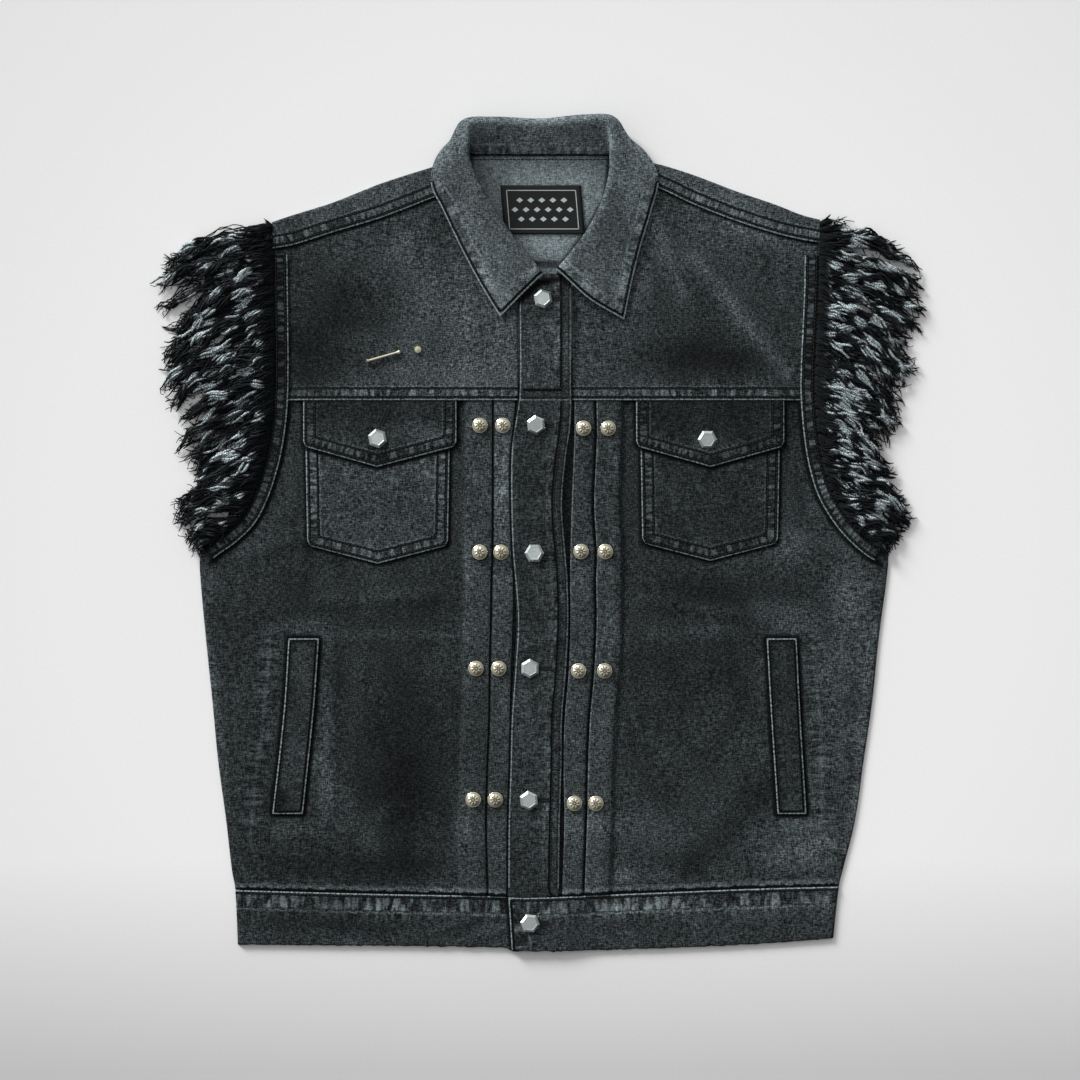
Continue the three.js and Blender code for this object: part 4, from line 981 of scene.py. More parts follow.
def welt_outline(side, inwards=0.0):
    """All round a welt."""
    ys = steps(WELT_Y[0] + inwards, WELT_Y[1] - inwards, 10)
    left = [(welt_of[side + "0"](y) + inwards, y) for y in ys]
    right = [(welt_of[side + "1"](y) - inwards, y) for y in ys]
    return left + right[::-1] + [left[0]]


BAG_LINES = {                    # the pocket bag inside shows as a pale line
    "right": [(-235, -88), (-237, -125), (-242, -171), (-249, -230), (-254, -290)],
    "left": [(236, -84), (240, -130), (244, -190), (246, -250), (252, -290)],
}
UNDER_YOKE = [(-300, YOKE_Y + 1), (300, YOKE_Y + 1)]
PLEAT_PALE = 0.045               # how much lighter the pleats are worn
GAP_SHADE = 0.12                # lightness of the painted shade on the cloth between a pleat and the placket


def off_table(place):
    """Height of each place without the bulge of all the layers."""
    return place[:, 2] - np.array([bulge(x, y) for x, y, _ in place])


for side in WAY:
    levels = steps(HEM_Y + GAP, HEM_Y + 18, 1.6)[:-1] + steps(HEM_Y + 18, YOKE_Y - GAP)
    rows = {y: front_section(y, side) for y in levels}
    count = len(next(iter(rows.values())))
    heights = {}

    def front_place(u, v):
        x, z = rows[v][u]
        return Vector((x, settled(x, v), z + bulge(x, v)))

    bm = bmesh.new()
    add_grid(bm, list(range(count)), list(rows), front_place)
    folds = [[(line_of[name](y), y) for y in steps(HEM_Y, YOKE_Y, 12)] for name in sorted(FOLD_LINES[side])]

    def front_rim(place):
        """The pleats' fold edges are worn, on the top layer only."""
        distance, arc_length = nearest(place[:, :2], folds)
        return np.where(off_table(place) < layer(2.4), 100.0, distance), arc_length

    # Painted shadow beside the yoke's edge, the pocket, the flap and the armhole band, and wider beside the
    # welt.
    shades = [
        UNDER_YOKE, pad_outline(POCKET_PADS[side], POCKET_TAPER), pad_outline(FLAPS[side]),
        armhole_edge(side, ARMHOLE_BAND + 1),
    ]
    piece = lay(bm, "front_" + side, Look(0.165, rim=front_rim, shades=shades, deep=[welt_outline(side)]),
                FRONT_DENIM, cut=(380, 424))
    place = np.array([v.co for v in piece.data.vertices]) / MM
    wash = np.empty(len(place), np.float32)
    values = piece.data.attributes["wash"].data
    values.foreach_get("value", wash)
    fold1 = np.array([line_of[FOLD_LINES[side][0]](y) for y in place[:, 1]])
    into_pleat = (place[:, 0] - fold1) * WAY[side] + PLEAT_DEPTH
    uneven = 3.0 * clouds(place[:, :2] * (0, 1), 1, 22, 6 * WAY[side])
    wash += PLEAT_PALE * np.clip((into_pleat + uneven + 3.0) / 9.0, 0, 1)**1.5
    # Painted shade: the lower layers in the gap between a pleat and the placket are painted dark.
    depth = np.clip((layer(2.85) - off_table(place)) / (0.7 * STEP), 0, 1) * (into_pleat > PLEAT_DEPTH + 0.3)
    wash = wash * (1 - depth) + GAP_SHADE * depth
    values.foreach_set("value", wash.astype(np.float32))
    write(piece.data, "hem", place[:, 1] - np.array([settled(x, HEM_Y) for x in place[:, 0]]))
    write(piece.data, "bag", nearest(place[:, :2], [BAG_LINES[side]])[0])

# %% [markdown]
# ## Plackets and waistband
#
# The two plackets are straps of double cloth. The upper one is worn along its free edge and
# stitched along the other; the yoke seam runs on over it. The waistband is a strap too, with a
# turned and stitched top edge and a raw, frayed hem.

# %% Plackets
PLACKET_CREASES = table(FOLD, [
    (-11, -100, 24, -91, 3.2, 1.0), (-10, -147, -2, -168, 3.4, 1.2), (-2, -168, 15, -185, 3.4, 1.2),
    (0, -189, 14, -201, 3.6, 1.0), (2, -155, 18, -160, 2.8, 0.6), (2, -262, 14, -266, 3, 0.7),
    (4, -275, 14, -282, 3, 0.7), (-6, 20, 16, 4, 5, 0.6), (4, -42, 20, -38, 4, 0.8),
])


def placket_height(x, y):
    """The upper placket: a step where the yoke's seam crosses it, and small puckers at its seam."""
    step = 0.7 * smooth((y - YOKE_Y) / 2.5)
    from_seam = line_of["seam"](y) - x
    pucker = 0.45 * smooth(1 - from_seam / 16) * (0.5 + 0.5 * noise.noise((x / 30, y / 4.5, 2)))
    crease = ridge(PLACKET_CREASES, x, y)
    return PLACKET_TOP + bulge(x, y) + step + pucker + crease


def strap(left_of, right_of, height):
    """A place on a placket: between two lines, sagging with the waist."""
    place = across(left_of, right_of, height)

    def sagging(u, v):
        p = place(u, v)
        return Vector((p.x, settled(p.x, p.y), p.z))

    return sagging


bm = bmesh.new()
add_grid(bm, shares(6), steps(HEM_Y + GAP, 224, 6),
         strap(lambda y: line_of["edge"](y) - 1.5, lambda y: line_of["edge"](y) + 28,
               lambda x, y: PLACKET_LOW + bulge(x, y)))
placket_edge = [(line_of["edge"](y), y) for y in steps(HEM_Y, 226, 10)]
# Painted shadow beside the upper placket's edge.
lay(bm, "placket_right", Look(0.16, edges=[[(x - 1.5, y) for x, y in placket_edge]], shades=[placket_edge]),
    PLAIN_DENIM, DOUBLE)

placket_seam = [(line_of["seam"](y), y) for y in steps(HEM_Y, 226, 10)]
yoke_seam = [(-18, YOKE_Y), (28, YOKE_Y)]


def placket_rim(place):
    """The seam's side is stitched; the free edge is only worn; the yoke's edge crosses over."""
    flat = place[:, :2]
    seam_d, seam_s = nearest(flat, [placket_seam])
    edge_d, edge_s = nearest(flat, [placket_edge])
    yoke_d, yoke_s = nearest(flat, [yoke_seam])
    edge_d = np.where(edge_d < 1.8, edge_d, 100.0)
    yoke_d = np.where((place[:, 1] > YOKE_Y - 0.2) & (yoke_d < 20), yoke_d, 100.0)
    picks = np.stack([seam_d, edge_d, yoke_d])
    arcs = np.stack([seam_s, edge_s, yoke_s])
    best = picks.argmin(axis=0)
    everyone = np.arange(len(place))
    return picks[best, everyone], arcs[best, everyone]


bm = bmesh.new()
add_grid(bm, shares(26), steps(HEM_Y + GAP, YOKE_Y - 1, 2.5) + steps(YOKE_Y, 224, 2.5),
         strap(lambda y: line_of["edge"](y), lambda y: line_of["seam"](y), placket_height))
PLACKET_DENIM = denim("stone_washed_black_denim_strap", stitches=(8.4,), depth=4.0, every=5.0, rope=0.7,
                      worn=0.8)
collar_shadow = [(-34, 186), (0, 216), (18, 219), (73, 184)]
lay(bm, "placket_left", Look(0.165, rim=placket_rim, shades=[collar_shadow]), PLACKET_DENIM, DOUBLE)

# %% Waistband
BAND_TOP = HEM_Y - GAP
BAND_CREASES = table(FOLD, [
    (-84, -330, -46, -316, 5, 0.9), (-92, -346, -50, -330, 4, 0.9), (-60, -352, -34, -344, 4, 0.7),
    (-190, -336, -130, -342, 6, 0.6), (60, -334, 96, -326, 6, 0.7), (170, -340, 220, -334, 6, 0.6),
])


def band_height(x, y, z):
    pucker = 0.55 * smooth(1 - (BAND_TOP - y) / 17) * (0.5 + 0.5 * noise.noise((x / 4.6, y / 40, 6)))
    return z + smooth((z - 1.6) / 1.1) * (ridge(BAND_CREASES, x, y) + pucker)


def band_right(y):
    outer = side_of["right"](y)
    points = [(outer + 0.6, 0.2)]
    climb(points, outer + 0.9, 1.6, 2)
    climb(points, outer + 2.6, PLACKET_LOW, 3)
    run(points, line_of["edge"](HEM_Y) + 28, PLACKET_LOW, 90)
    return points


def band_left(y):
    outer = side_of["left"](y)
    front = line_of["edge"](HEM_Y) + mix(0, 3, (HEM_Y - y) / BAND_DEPTH)
    points = [(front, PLACKET_TOP)]
    run(points, 12, PLACKET_TOP, 13)
    climb(points, 56, PLACKET_LOW, 16)
    run(points, outer - 2.6, PLACKET_LOW, 70)
    climb(points, outer - 0.9, 1.6, 3)
    climb(points, outer - 0.6, 0.2, 2)
    return points


band_levels = steps(HEM_Y - BAND_DEPTH, BAND_TOP, 2.2)
for side, section in (("right", band_right), ("left", band_left)):
    rows = {y: section(y) for y in band_levels}
    count = len(rows[BAND_TOP])

    def band_place(u, v):
        x, z = rows[v][u]
        share = (BAND_TOP - v) / BAND_DEPTH
        fray = 0.9 * noise.noise((x / 2.3, 0, 1)) + 0.7 * noise.noise((x / 9, 4, 1))
        y = v - mix(waist_sag(x), hem_drop(x) + fray, share)
        return Vector((x, y, band_height(x, v, z)))

    bm = bmesh.new()
    add_grid(bm, list(range(count)), band_levels, band_place)
    x0, x1 = (-270, 2) if side == "right" else (line_of["edge"](HEM_Y), 262)
    edges = [[(x, settled(x, BAND_TOP)) for x in steps(x0, x1, 12)]]
    if side == "left":
        edges.append([(x0, settled(x0, BAND_TOP)), (x0 + 3, HEM_Y - BAND_DEPTH - 6)])
    # Painted shade along the band's lower edge, and on the right band under the placket's edge.
    shades = [[(x, HEM_Y - BAND_DEPTH - hem_drop(x) - 2.2) for x in steps(x0, x1, 15)]]
    if side == "right":
        x0 = line_of["edge"](HEM_Y)
        shades.append([(x0 - 0.4, BAND_TOP), (x0 + 2.6, HEM_Y - BAND_DEPTH)])
    band_denim = denim("stone_washed_black_denim_band_" + side, stitches=(2.2,), depth=12.5, every=6.0,
                       rope=1.4)
    band_look = Look(0.185, edges=edges, shades=shades)
    lay(bm, "waistband_" + side, band_look, band_denim, BAND_CLOTH, cut=(285, 55))

# %% [markdown]
# ## Collar
#
# The collar is a double cloth that stands up from the neck seam, rolls over and falls onto the
# shoulders. Each station round the neck has four places: the seam, the roll, the middle
# of the fall and its edge. A smooth curve runs through them, and others run round the neck.

# %% Collar
COLLAR = table("nx ny nz rx ry rz mx my mz ex ey ez", [
    (0, 218.5, 8.4, 2.6, 223, 10.5, -17, 204.5, 9.4, -34.5, 186.6, 4.6),
    (-18, 236, 6, -14, 243, 14, -34, 227, 11.5, -52.5, 216.5, 4.6),
    (-38, 260, 4.6, -32, 266.5, 18, -52, 254, 13, -70, 250, 4.6),
    (-54, 286, 4.2, -46.5, 289, 21, -67, 281, 14.5, -84.5, 280.5, 5.8),
    (-64, 308, 5, -57, 309, 23, -77.5, 304, 15.5, -94, 301, 5.8),
    (-65, 320, 6, -62.5, 326, 24.5, -79, 324, 16, -91, 321.5, 5.4),
    (-61.5, 326.5, 3.4, -62.5, 341, 25, -75.5, 339.5, 15, -79.5, 337, 2.4),
    (-56, 327, 3, -60, 352.5, 25, -67.5, 355, 13, -63, 344, 1.2),
    (-34, 327, 3, -38, 354, 24.5, -40, 357.5, 12, -38, 336, 1.1),
    (1, 327, 3, 1, 352.5, 24, 1, 356, 12, 1, 334, 1.1),
    (34, 327, 3, 37, 355.5, 24.5, 38, 359.5, 12, 38, 337, 1.1),
    (56, 327, 3, 58.5, 355.5, 25, 65, 357.5, 13, 61.5, 346, 1.2),
    (63, 327, 3.4, 61.5, 343, 25, 74.5, 342, 15, 80, 339, 2.4),
    (67, 320, 6, 61.5, 327, 24.5, 81.5, 326, 16, 95.5, 323.5, 5.4),
    (67, 304, 5, 60, 306, 23, 83, 306, 15.5, 102.5, 306, 5.8),
    (61, 281, 4.2, 52.5, 281, 21, 74, 277, 14.5, 96.5, 279, 5.6),
    (46, 253, 4.6, 38, 255, 18, 61.5, 245, 13, 87, 247, 4.6),
    (30, 233, 6, 24, 237.5, 14, 50, 218.5, 11.5, 79, 214, 4.6),
    (16, 221.5, 8.4, 14.5, 226.6, 10.5, 42.5, 202, 9.4, 73, 184, 4.6),
])


def spline(points, t):
    """A point on a smooth curve through points, t from 0 to 1, its speed evened by their spacing."""
    spans = [max(1e-6, (b - a).length ** 0.5) for a, b in zip(points[:-1], points[1:])]
    knots = [0.0]
    for s in spans:
        knots.append(knots[-1] + s)
    k = min(len(spans) - 1, int(t * len(spans)))
    u = t * len(spans) - k
    p1, p2 = points[k], points[k + 1]
    p0 = points[k - 1] if k else p1 * 2 - p2
    p3 = points[k + 2] if k + 2 < len(points) else p2 * 2 - p1
    s0 = spans[k - 1] if k else spans[0]
    s2 = spans[k + 1] if k + 1 < len(spans) else spans[-1]
    s1 = spans[k]
    m1 = ((p1 - p0) / s0 - (p2 - p0) / (s0 + s1) + (p2 - p1) / s1) * s1
    m2 = ((p2 - p1) / s1 - (p3 - p1) / (s1 + s2) + (p3 - p2) / s2) * s1
    return (
        p1 * (2 * u**3 - 3 * u**2 + 1) + m1 * (u**3 - 2 * u**2 + u)
        + p2 * (3 * u**2 - 2 * u**3) + m2 * (u**3 - u**2)
    )


collar_shares = shares(30)
collar_stations = [
    [spline([Vector(row[3 * k:3 * k + 3]) for k in range(4)], v) for v in collar_shares] for row in COLLAR
]
collar_lines = [[station[k] for station in collar_stations] for k in range(len(collar_shares))]


def collar_place(u, v):
    return spline(collar_lines[v], u)


def collar_rim(place):
    """Distance to the fall's outer edge and its two front ends, measured on the cloth."""
    line = [(p.x, p.y) for p in (spline(collar_lines[-1], t) for t in shares(80))]
    ends = [[(row[end].x, row[end].y) for row in collar_lines[9:]] for end in (0, -1)]
    distance, arc_length = nearest(place[:, :2], [ends[0][::-1] + line, ends[1]])
    stand = (place[:, 1] > 326) & (np.abs(place[:, 0]) < 70)
    seam_d, seam_s = nearest(place[:, :2], [[(-60, 327), (60, 327)]])
    past_shoulder = 14 * np.clip((place[:, 1] - 303) / 8, 0, 1)
    distance = np.where(stand, np.where(seam_d < 30, seam_d + 2.0, 100), distance + past_shoulder)
    return distance, np.where(stand, seam_s, arc_length)


bm = bmesh.new()
add_grid(bm, shares(150), list(range(len(collar_shares))), collar_place)
bmesh.ops.recalc_face_normals(bm, faces=bm.faces)
lay(bm, "collar", Look(0.31, rim=collar_rim), COLLAR_DENIM, COLLAR_CLOTH, cut=(500, 82))

# %% [markdown]
# ## Pockets, flaps, welts and armhole bands
#
# These lie on the fronts and follow every bulge of them. A pocket is a pointed patch under a
# pointed flap, both stitched twice along their edges.

# %% Pockets and flaps
CORNER_R = 4.0
POCKET_LIGHT = {"right": 0.215, "left": 0.155}
FLAP_LIGHT = {"right": 0.138, "left": 0.122}
WELT_LIGHT = {"right": 0.16, "left": 0.135}


def pad_place(pad, taper, base, puff):
    """A place on a pointed pad: u across from -1 to 1, v from its lower edge to its top."""
    half = {-1: pad["middle"] - pad["x0"], 1: pad["x1"] - pad["middle"]}

    def place(u, v):
        reach = half[-1 if u < 0 else 1]
        x = pad["middle"] + u * reach * (1 - taper * (1 - v))
        round_in = max(0.0, (reach * abs(u) - reach + CORNER_R) / CORNER_R)
        rounding = CORNER_R * (1 - math.sqrt(max(0.0, 1 - round_in**2)))
        low = mix(pad["point"], pad["corner"], abs(u)) + rounding
        y = mix(low, pad["top"], v)
        inner = smooth((1 - abs(u)) * 5) * smooth(v * 5)
        return Vector((x, y, base + bulge(x, y) + puff * inner))

    return place


for side in WAY:
    pad, flap = POCKET_PADS[side], FLAPS[side]
    flap_line = pad_outline(flap)
    bm = bmesh.new()
    add_grid(bm, [2 * s - 1 for s in shares(44)], shares(42), pad_place(pad, POCKET_TAPER, layer(2), 0.4))
    # Painted shadow: wider on the pocket under the flap's edge, and on the flap under the yoke's edge.
    pocket_look = Look(POCKET_LIGHT[side], edges=[pad_outline(pad, POCKET_TAPER)], deep=[flap_line])
    lay(bm, "pocket_" + side, pocket_look, DENIM)
    bm = bmesh.new()
    add_grid(bm, [2 * s - 1 for s in shares(50)], shares(22), pad_place(flap, 0, layer(3) + 0.3, 0.3))
    flap_look = Look(FLAP_LIGHT[side], edges=[flap_line], shades=[UNDER_YOKE])
    lay(bm, "flap_" + side, flap_look, DENIM, FLAP_CLOTH)

# %% Welts and armhole bands
for side in WAY:
    bm = bmesh.new()
    add_grid(bm, shares(12), steps(*WELT_Y, 2.5),
             across(welt_of[side + "0"], welt_of[side + "1"], lambda x, y: layer(2) + bulge(x, y)))
    lay(bm, "welt_" + side, Look(WELT_LIGHT[side], edges=[welt_outline(side)]), WELT_DENIM)

    edge_line = armhole_edge(side, 0.6, -14, 240, 3)
    inner_line = armhole_edge(side, ARMHOLE_BAND, -14, 240, 3)

    def band_strip(u, v):
        x, y = (mix(edge_line[v][k], inner_line[v][k], u) for k in (0, 1))
        on_yoke = smooth((y - (YOKE_Y - 6)) / 12)
        high = mix(layer(2), max(layer(2), yoke_height(x, y) + STEP), on_yoke)
        return Vector((x, y, high + 0.35))

    bm = bmesh.new()
    add_grid(bm, shares(6), list(range(len(edge_line))), band_strip)
    bmesh.ops.recalc_face_normals(bm, faces=bm.faces)
    # Painted shade along the band's outer edge at the armhole.
    band_look = Look(0.155, edges=[inner_line], shades=[edge_line])
    lay(bm, "armhole_band_" + side, band_look, DENIM, cut=(45, 285))

# %% [markdown]
# ## Sewing
#
# A stitch is a short grain of black thread that sinks into the cloth. One grain is made, and it
# is repeated along each row. A ray from above finds the height of the cloth under each stitch.

# %% Where the cloth's surface is
def surface_of(objects):
    """A search tree of the finished cloths, in millimetres."""
    graph = bpy.context.evaluated_depsgraph_get()
    points, faces = [], []
    for o in objects:
        shape = o.evaluated_get(graph).to_mesh()
        first = len(points)
        points += [v.co / MM for v in shape.vertices]
        faces += [[first + k for k in p.vertices] for p in shape.polygons]
    return BVHTree.FromPolygons(points, faces)


def on_top(surface, x, y):
    """Height of a cloth's upper surface, and its normal."""
    hit, normal, _, _ = surface.ray_cast(Vector((x, y, 60)), Vector((0, 0, -1)))
    return hit, normal


def walk(line, pitch):
    """Points along a line at even steps, each with its direction."""
    made = []
    left = pitch / 2
    for (x0, y0), (x1, y1) in zip(line[:-1], line[1:]):
        length = math.hypot(x1 - x0, y1 - y0)
        while left < length:
            t = left / length
            made.append((mix(x0, x1, t), mix(y0, y1, t), math.atan2(y1 - y0, x1 - x0)))
            left += pitch
        left -= length
    return made


# %% The thread and the stitches
THREAD = plain("polyester_core_thread_black", "#0d0f10", 0.75)
STITCH_PITCH = 3.3
STITCH_LONG = 2.9
STITCH_R = 0.5


def one_stitch(long, radius):
    """A flattened six-sided grain of thread along X that dips down at both ends."""
    bm = bmesh.new()
    bmesh.ops.create_cone(bm, cap_ends=True, segments=6, radius1=radius, radius2=radius, depth=long * 0.6)
    for cap in [f for f in bm.faces if len(f.verts) == 6]:
        side = math.copysign(1, cap.calc_center_median().z)
        tip = bmesh.ops.extrude_discrete_faces(bm, faces=[cap])["faces"][0]
        for v in tip.verts:
            v.co = Vector((v.co.x * 0.35 + radius * 0.45, v.co.y * 0.35, side * long / 2))
    lie = Matrix.Diagonal((1, 1, 0.7, 1)) @ Matrix.Rotation(math.pi / 2, 4, "Y")
    bmesh.ops.transform(bm, matrix=lie, verts=bm.verts)
    return bm


def sew(name, lines, on, pitch=STITCH_PITCH, long=STITCH_LONG, radius=STITCH_R, turn_by=0.0):
    """Rows of stitches as one joined mesh, on the named cloths."""
    surface = surface_of([PIECES[piece_name] for piece_name in on])
    grain = one_stitch(long, radius)
    spare = bpy.data.meshes.new("spare")
    bm = bmesh.new()
    count = 0
    for line in lines:
        for x, y, angle in walk(line, pitch):
            hit, normal = on_top(surface, x, y)
            if hit is None:
                continue
            up = Vector((0, 0, 1)).rotation_difference(normal).to_matrix().to_4x4()
            turn = Matrix.Rotation(angle + turn_by + random.uniform(-0.05, 0.05), 4, "Z")
            grain.to_mesh(spare)
            spare.transform(Matrix.Translation(hit + Vector((0, 0, 0.1))) @ up @ turn)
            bm.from_mesh(spare)
            count += 1
    to_piece(bm, name, THREAD, None)
    bpy.data.meshes.remove(spare)
    print(name, count, "stitches")


random.seed(7)
ROWS = (2.6, 10.2)               # the two rows of a felled seam, from its edge
yoke_rows = [
    [(x0 + 1, YOKE_Y + row), (x1 - 1, YOKE_Y + row)] for x0, x1 in YOKE_SPANS.values() for row in ROWS
]
yoke_rows += [[(-16, YOKE_Y + row), (26, YOKE_Y + row)] for row in ROWS]
shoulder_rows = [[(x, y + row * 1.05) for x, y in line] for line in lap_edges for row in ROWS]
sew("stitches_yokes", yoke_rows, ["front_yoke_right", "front_yoke_left", "placket_left"])
sew("stitches_shoulders", shoulder_rows, ["back_yoke"])
sew("stitches_neck", [[(-60, 323.4), (60, 323.4)]], ["back_yoke"])
for side in WAY:
    rows = [armhole_edge(side, ARMHOLE_BAND - row, -13, 262, 3) for row in ROWS]
    sew("stitches_armhole_" + side, rows, ["armhole_band_" + side, "back_yoke"])
pocket_rows = [pad_outline(pad, POCKET_TAPER, row) for pad in POCKET_PADS.values() for row in ROWS]
pocket_rows = [[(x, min(y, 66)) for x, y in line] for line in pocket_rows]
flap_rows = [pad_outline(flap, 0, row) for flap in FLAPS.values() for row in ROWS]
sew("stitches_pockets", pocket_rows, ["pocket_right", "pocket_left"])
sew("stitches_flaps", flap_rows, ["flap_right", "flap_left"])
sew("stitches_placket", [[(x - row, y) for x, y in placket_seam] for row in (2.4, 7.4)], ["placket_left"])
band_rows = [
    [(x, settled(x, BAND_TOP) - 2.2) for x in steps(x0, x1, 8)] for x0, x1 in ((-262, -28), (-25, 258))
]
sew("stitches_waistband", band_rows, ["waistband_right", "waistband_left"])
sew("stitches_welts", [welt_outline(side, 3.2) for side in WAY], ["welt_right", "welt_left"])
collar_line = [collar_place(t, len(collar_shares) - 1) for t in shares(90)]
collar_end = {end: [collar_place(end, k) for k in range(9, len(collar_shares))] for end in (0, 1)}


def inside_of(points, off):
    """A line beside a row of places, off to its left hand."""
    made = []
    for k in range(len(points)):
        a, b = points[max(0, k - 1)], points[min(len(points) - 1, k + 1)]
        way = Vector((b.x - a.x, b.y - a.y, 0)).normalized()
        made.append((points[k].x - way.y * off, points[k].y + way.x * off))
    return made


fall_right = [p for p in collar_line if p.x < 0 and p.y < 305]
fall_left = [p for p in collar_line if p.x > 0 and p.y < 305]
collar_rows = [inside_of(fall_right, -2.3)[1:], inside_of(fall_left, -2.3)[:-1]]
collar_rows += [inside_of(collar_end[0], 2.3)[2:-2], inside_of(collar_end[1], -2.3)[2:-2]]
sew("stitches_collar", collar_rows, ["collar"])

# %% [markdown]
# ## Buttonholes
#
# A buttonhole is a slit in the cloth with thread wound close round both its edges. Short stitches
# set across the slit, very near each other, make the two bars.

# %% Buttonholes
HOLES = table("x y turn long", [
    (6, 202, 0, 13), (0, 92, 0, 12), (-1, -19, 0, 13), (-4, -119, 0, 14), (-5, -233, 0, 14),
    (-5, -340, 0, 13), (-138, 92, 1.15, 17), (147, 90, 1.4, 14),
])
HALF_OPEN = 1.1
hole_rows = []
for h in HOLES:
    c, s = math.cos(h.turn), math.sin(h.turn)
    for off in (-HALF_OPEN, HALF_OPEN):
        x, y = h.x - s * off, h.y + c * off
        hole_rows.append([(x, y), (x + c * h.long, y + s * h.long)])
sew("buttonholes", hole_rows, ["placket_left", "waistband_left", "flap_right", "flap_left"],
    pitch=0.8, long=2.6,
    radius=0.42, turn_by=math.pi / 2)

# %% [markdown]
# ## Metal
#
# The jeans buttons are six-sided zinc heads, brushed and then tumbled. The studs are pressed
# domes of antique silver with a rim and a rosette. Both sit on the cloth.

# %% Metal finishes
def metal(name, colour, roughness, dark, brush):
    """Bare metal with dirt in its low places and fine brush marks."""
    made, t, shell = new_material(name, roughness, Metallic=1.0)
    place = put(t, "TexCoord", out=3)
    marks = put(t, "Mapping", {"Vector": place, "Scale": (250, 4200, 900) if brush else (1500, 1500, 1500)})
    fine = put(t, "TexNoise", {"Vector": marks, "Scale": 1.0, "Detail": 3.0})
    grime = ramp(t, stored(t, "low"), 0.2, 0.9)
    tone = put(t, "Mix", {0: fine, 6: linear(dark), 7: linear(colour)}, out=2, data_type="RGBA")
    mixed = put(t, "Mix", {0: grime, 6: tone, 7: linear("#2a2722")}, out=2, data_type="RGBA")
    t.links.new(mixed, shell.inputs["Base Color"])
    t.links.new(ramp(t, fine, 0.3, 0.7, roughness * 0.8, roughness * 1.3), shell.inputs["Roughness"])
    bump = put(t, "Bump", {"Strength": 0.25, "Distance": 0.00005, "Height": fine})
    t.links.new(bump, shell.inputs["Normal"])
    return made


ZINC = metal("brushed_zinc", "#dfe6e6", 0.38, "#a9b2b2", True)
SILVER = metal("antique_silver", "#f0ecd8", 0.24, "#b9b294", False)

# %% Buttons
BUTTON_R = 8.6
BUTTONS = table("name turn lean_x lean_y", [
    ("button_collar", 0.2, -0.05, 0.02), ("button_1", 0.1, 0.10, 0.02), ("button_2", 0.5, -0.04, -0.05),
    ("button_3", 0, -0.03, 0.03), ("button_4", 0.1, 0.02, -0.04), ("button_waist", 0.4, 0.03, 0.04),
    ("button_pocket_right", 0.2, -0.07, 0.0), ("button_pocket_left", 0.5, 0.09, 0.0),
])


def centre_of(node):
    """Middle of a node's foot, in millimetres."""
    low, high = (Vector(corner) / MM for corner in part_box(node))
    return Vector(((low.x + high.x) / 2, (low.y + high.y) / 2, low.z))


def seat(bm, node, lean_x, lean_y, turn):
    """Turns and leans a head, and puts it where its node stands."""
    lean = Matrix.Rotation(lean_x, 4, "X") @ Matrix.Rotation(lean_y, 4, "Y")
    place = Matrix.Translation(centre_of(node)) @ lean @ Matrix.Rotation(turn, 4, "Z")
    bmesh.ops.transform(bm, matrix=place, verts=bm.verts)


for b in BUTTONS:
    bm = bmesh.new()
    head = bmesh.ops.create_cone(bm, cap_ends=True, segments=6, radius1=BUTTON_R, radius2=BUTTON_R,
                                 depth=2.6)
    bmesh.ops.translate(bm, verts=head["verts"], vec=(0, 0, 2.3))
    top_edges = [e for e in bm.edges if min(v.co.z for v in e.verts) > 3]
    bmesh.ops.bevel(bm, geom=top_edges, offset=1.9, offset_type="OFFSET", segments=1, affect="EDGES",
                    material=-1)
    top = max(bm.faces, key=lambda f: f.calc_center_median().z)
    bmesh.ops.inset_region(bm, faces=[top], thickness=0.5, depth=0.0)
    bmesh.ops.inset_region(bm, faces=[top], thickness=0.35, depth=-0.12)
    shank = bmesh.ops.create_cone(bm, cap_ends=True, segments=20, radius1=4.2, radius2=4.2, depth=1.6)
    bmesh.ops.translate(bm, verts=shank["verts"], vec=(0, 0, 0.8))
    seat(bm, b.name, b.lean_x, b.lean_y, b.turn)
    piece = to_piece(bm, b.name + "_metal", ZINC, b.name)
    piece.data.shade_flat()
    write(piece.data, "low", [0.0] * len(piece.data.vertices))

# %% Studs
STUD_PROFILE = [                 # radius and height, from the top to the foot
    (0, 4.15), (1.2, 4.12), (2.4, 3.95), (3.4, 3.7), (4.2, 3.35), (4.9, 2.9), (5.3, 2.5), (5.7, 2.35),
    (6.2, 2.45), (6.7, 2.0), (7.0, 1.2), (6.9, 0.5), (6.4, 0.0),
]
STUD_SIDES = 48
STUD_LEAN = 0.06                 # radians at most


def stud_relief(radius, angle):
    """A rosette of eight petals round a small boss, raised 0.3 mm."""
    petals = 0.32 * math.exp(-((radius - 3.2) / 1.1) ** 2) * math.cos(8 * angle)
    return petals - 0.28 * math.exp(-((radius - 1.3) / 0.4) ** 2)


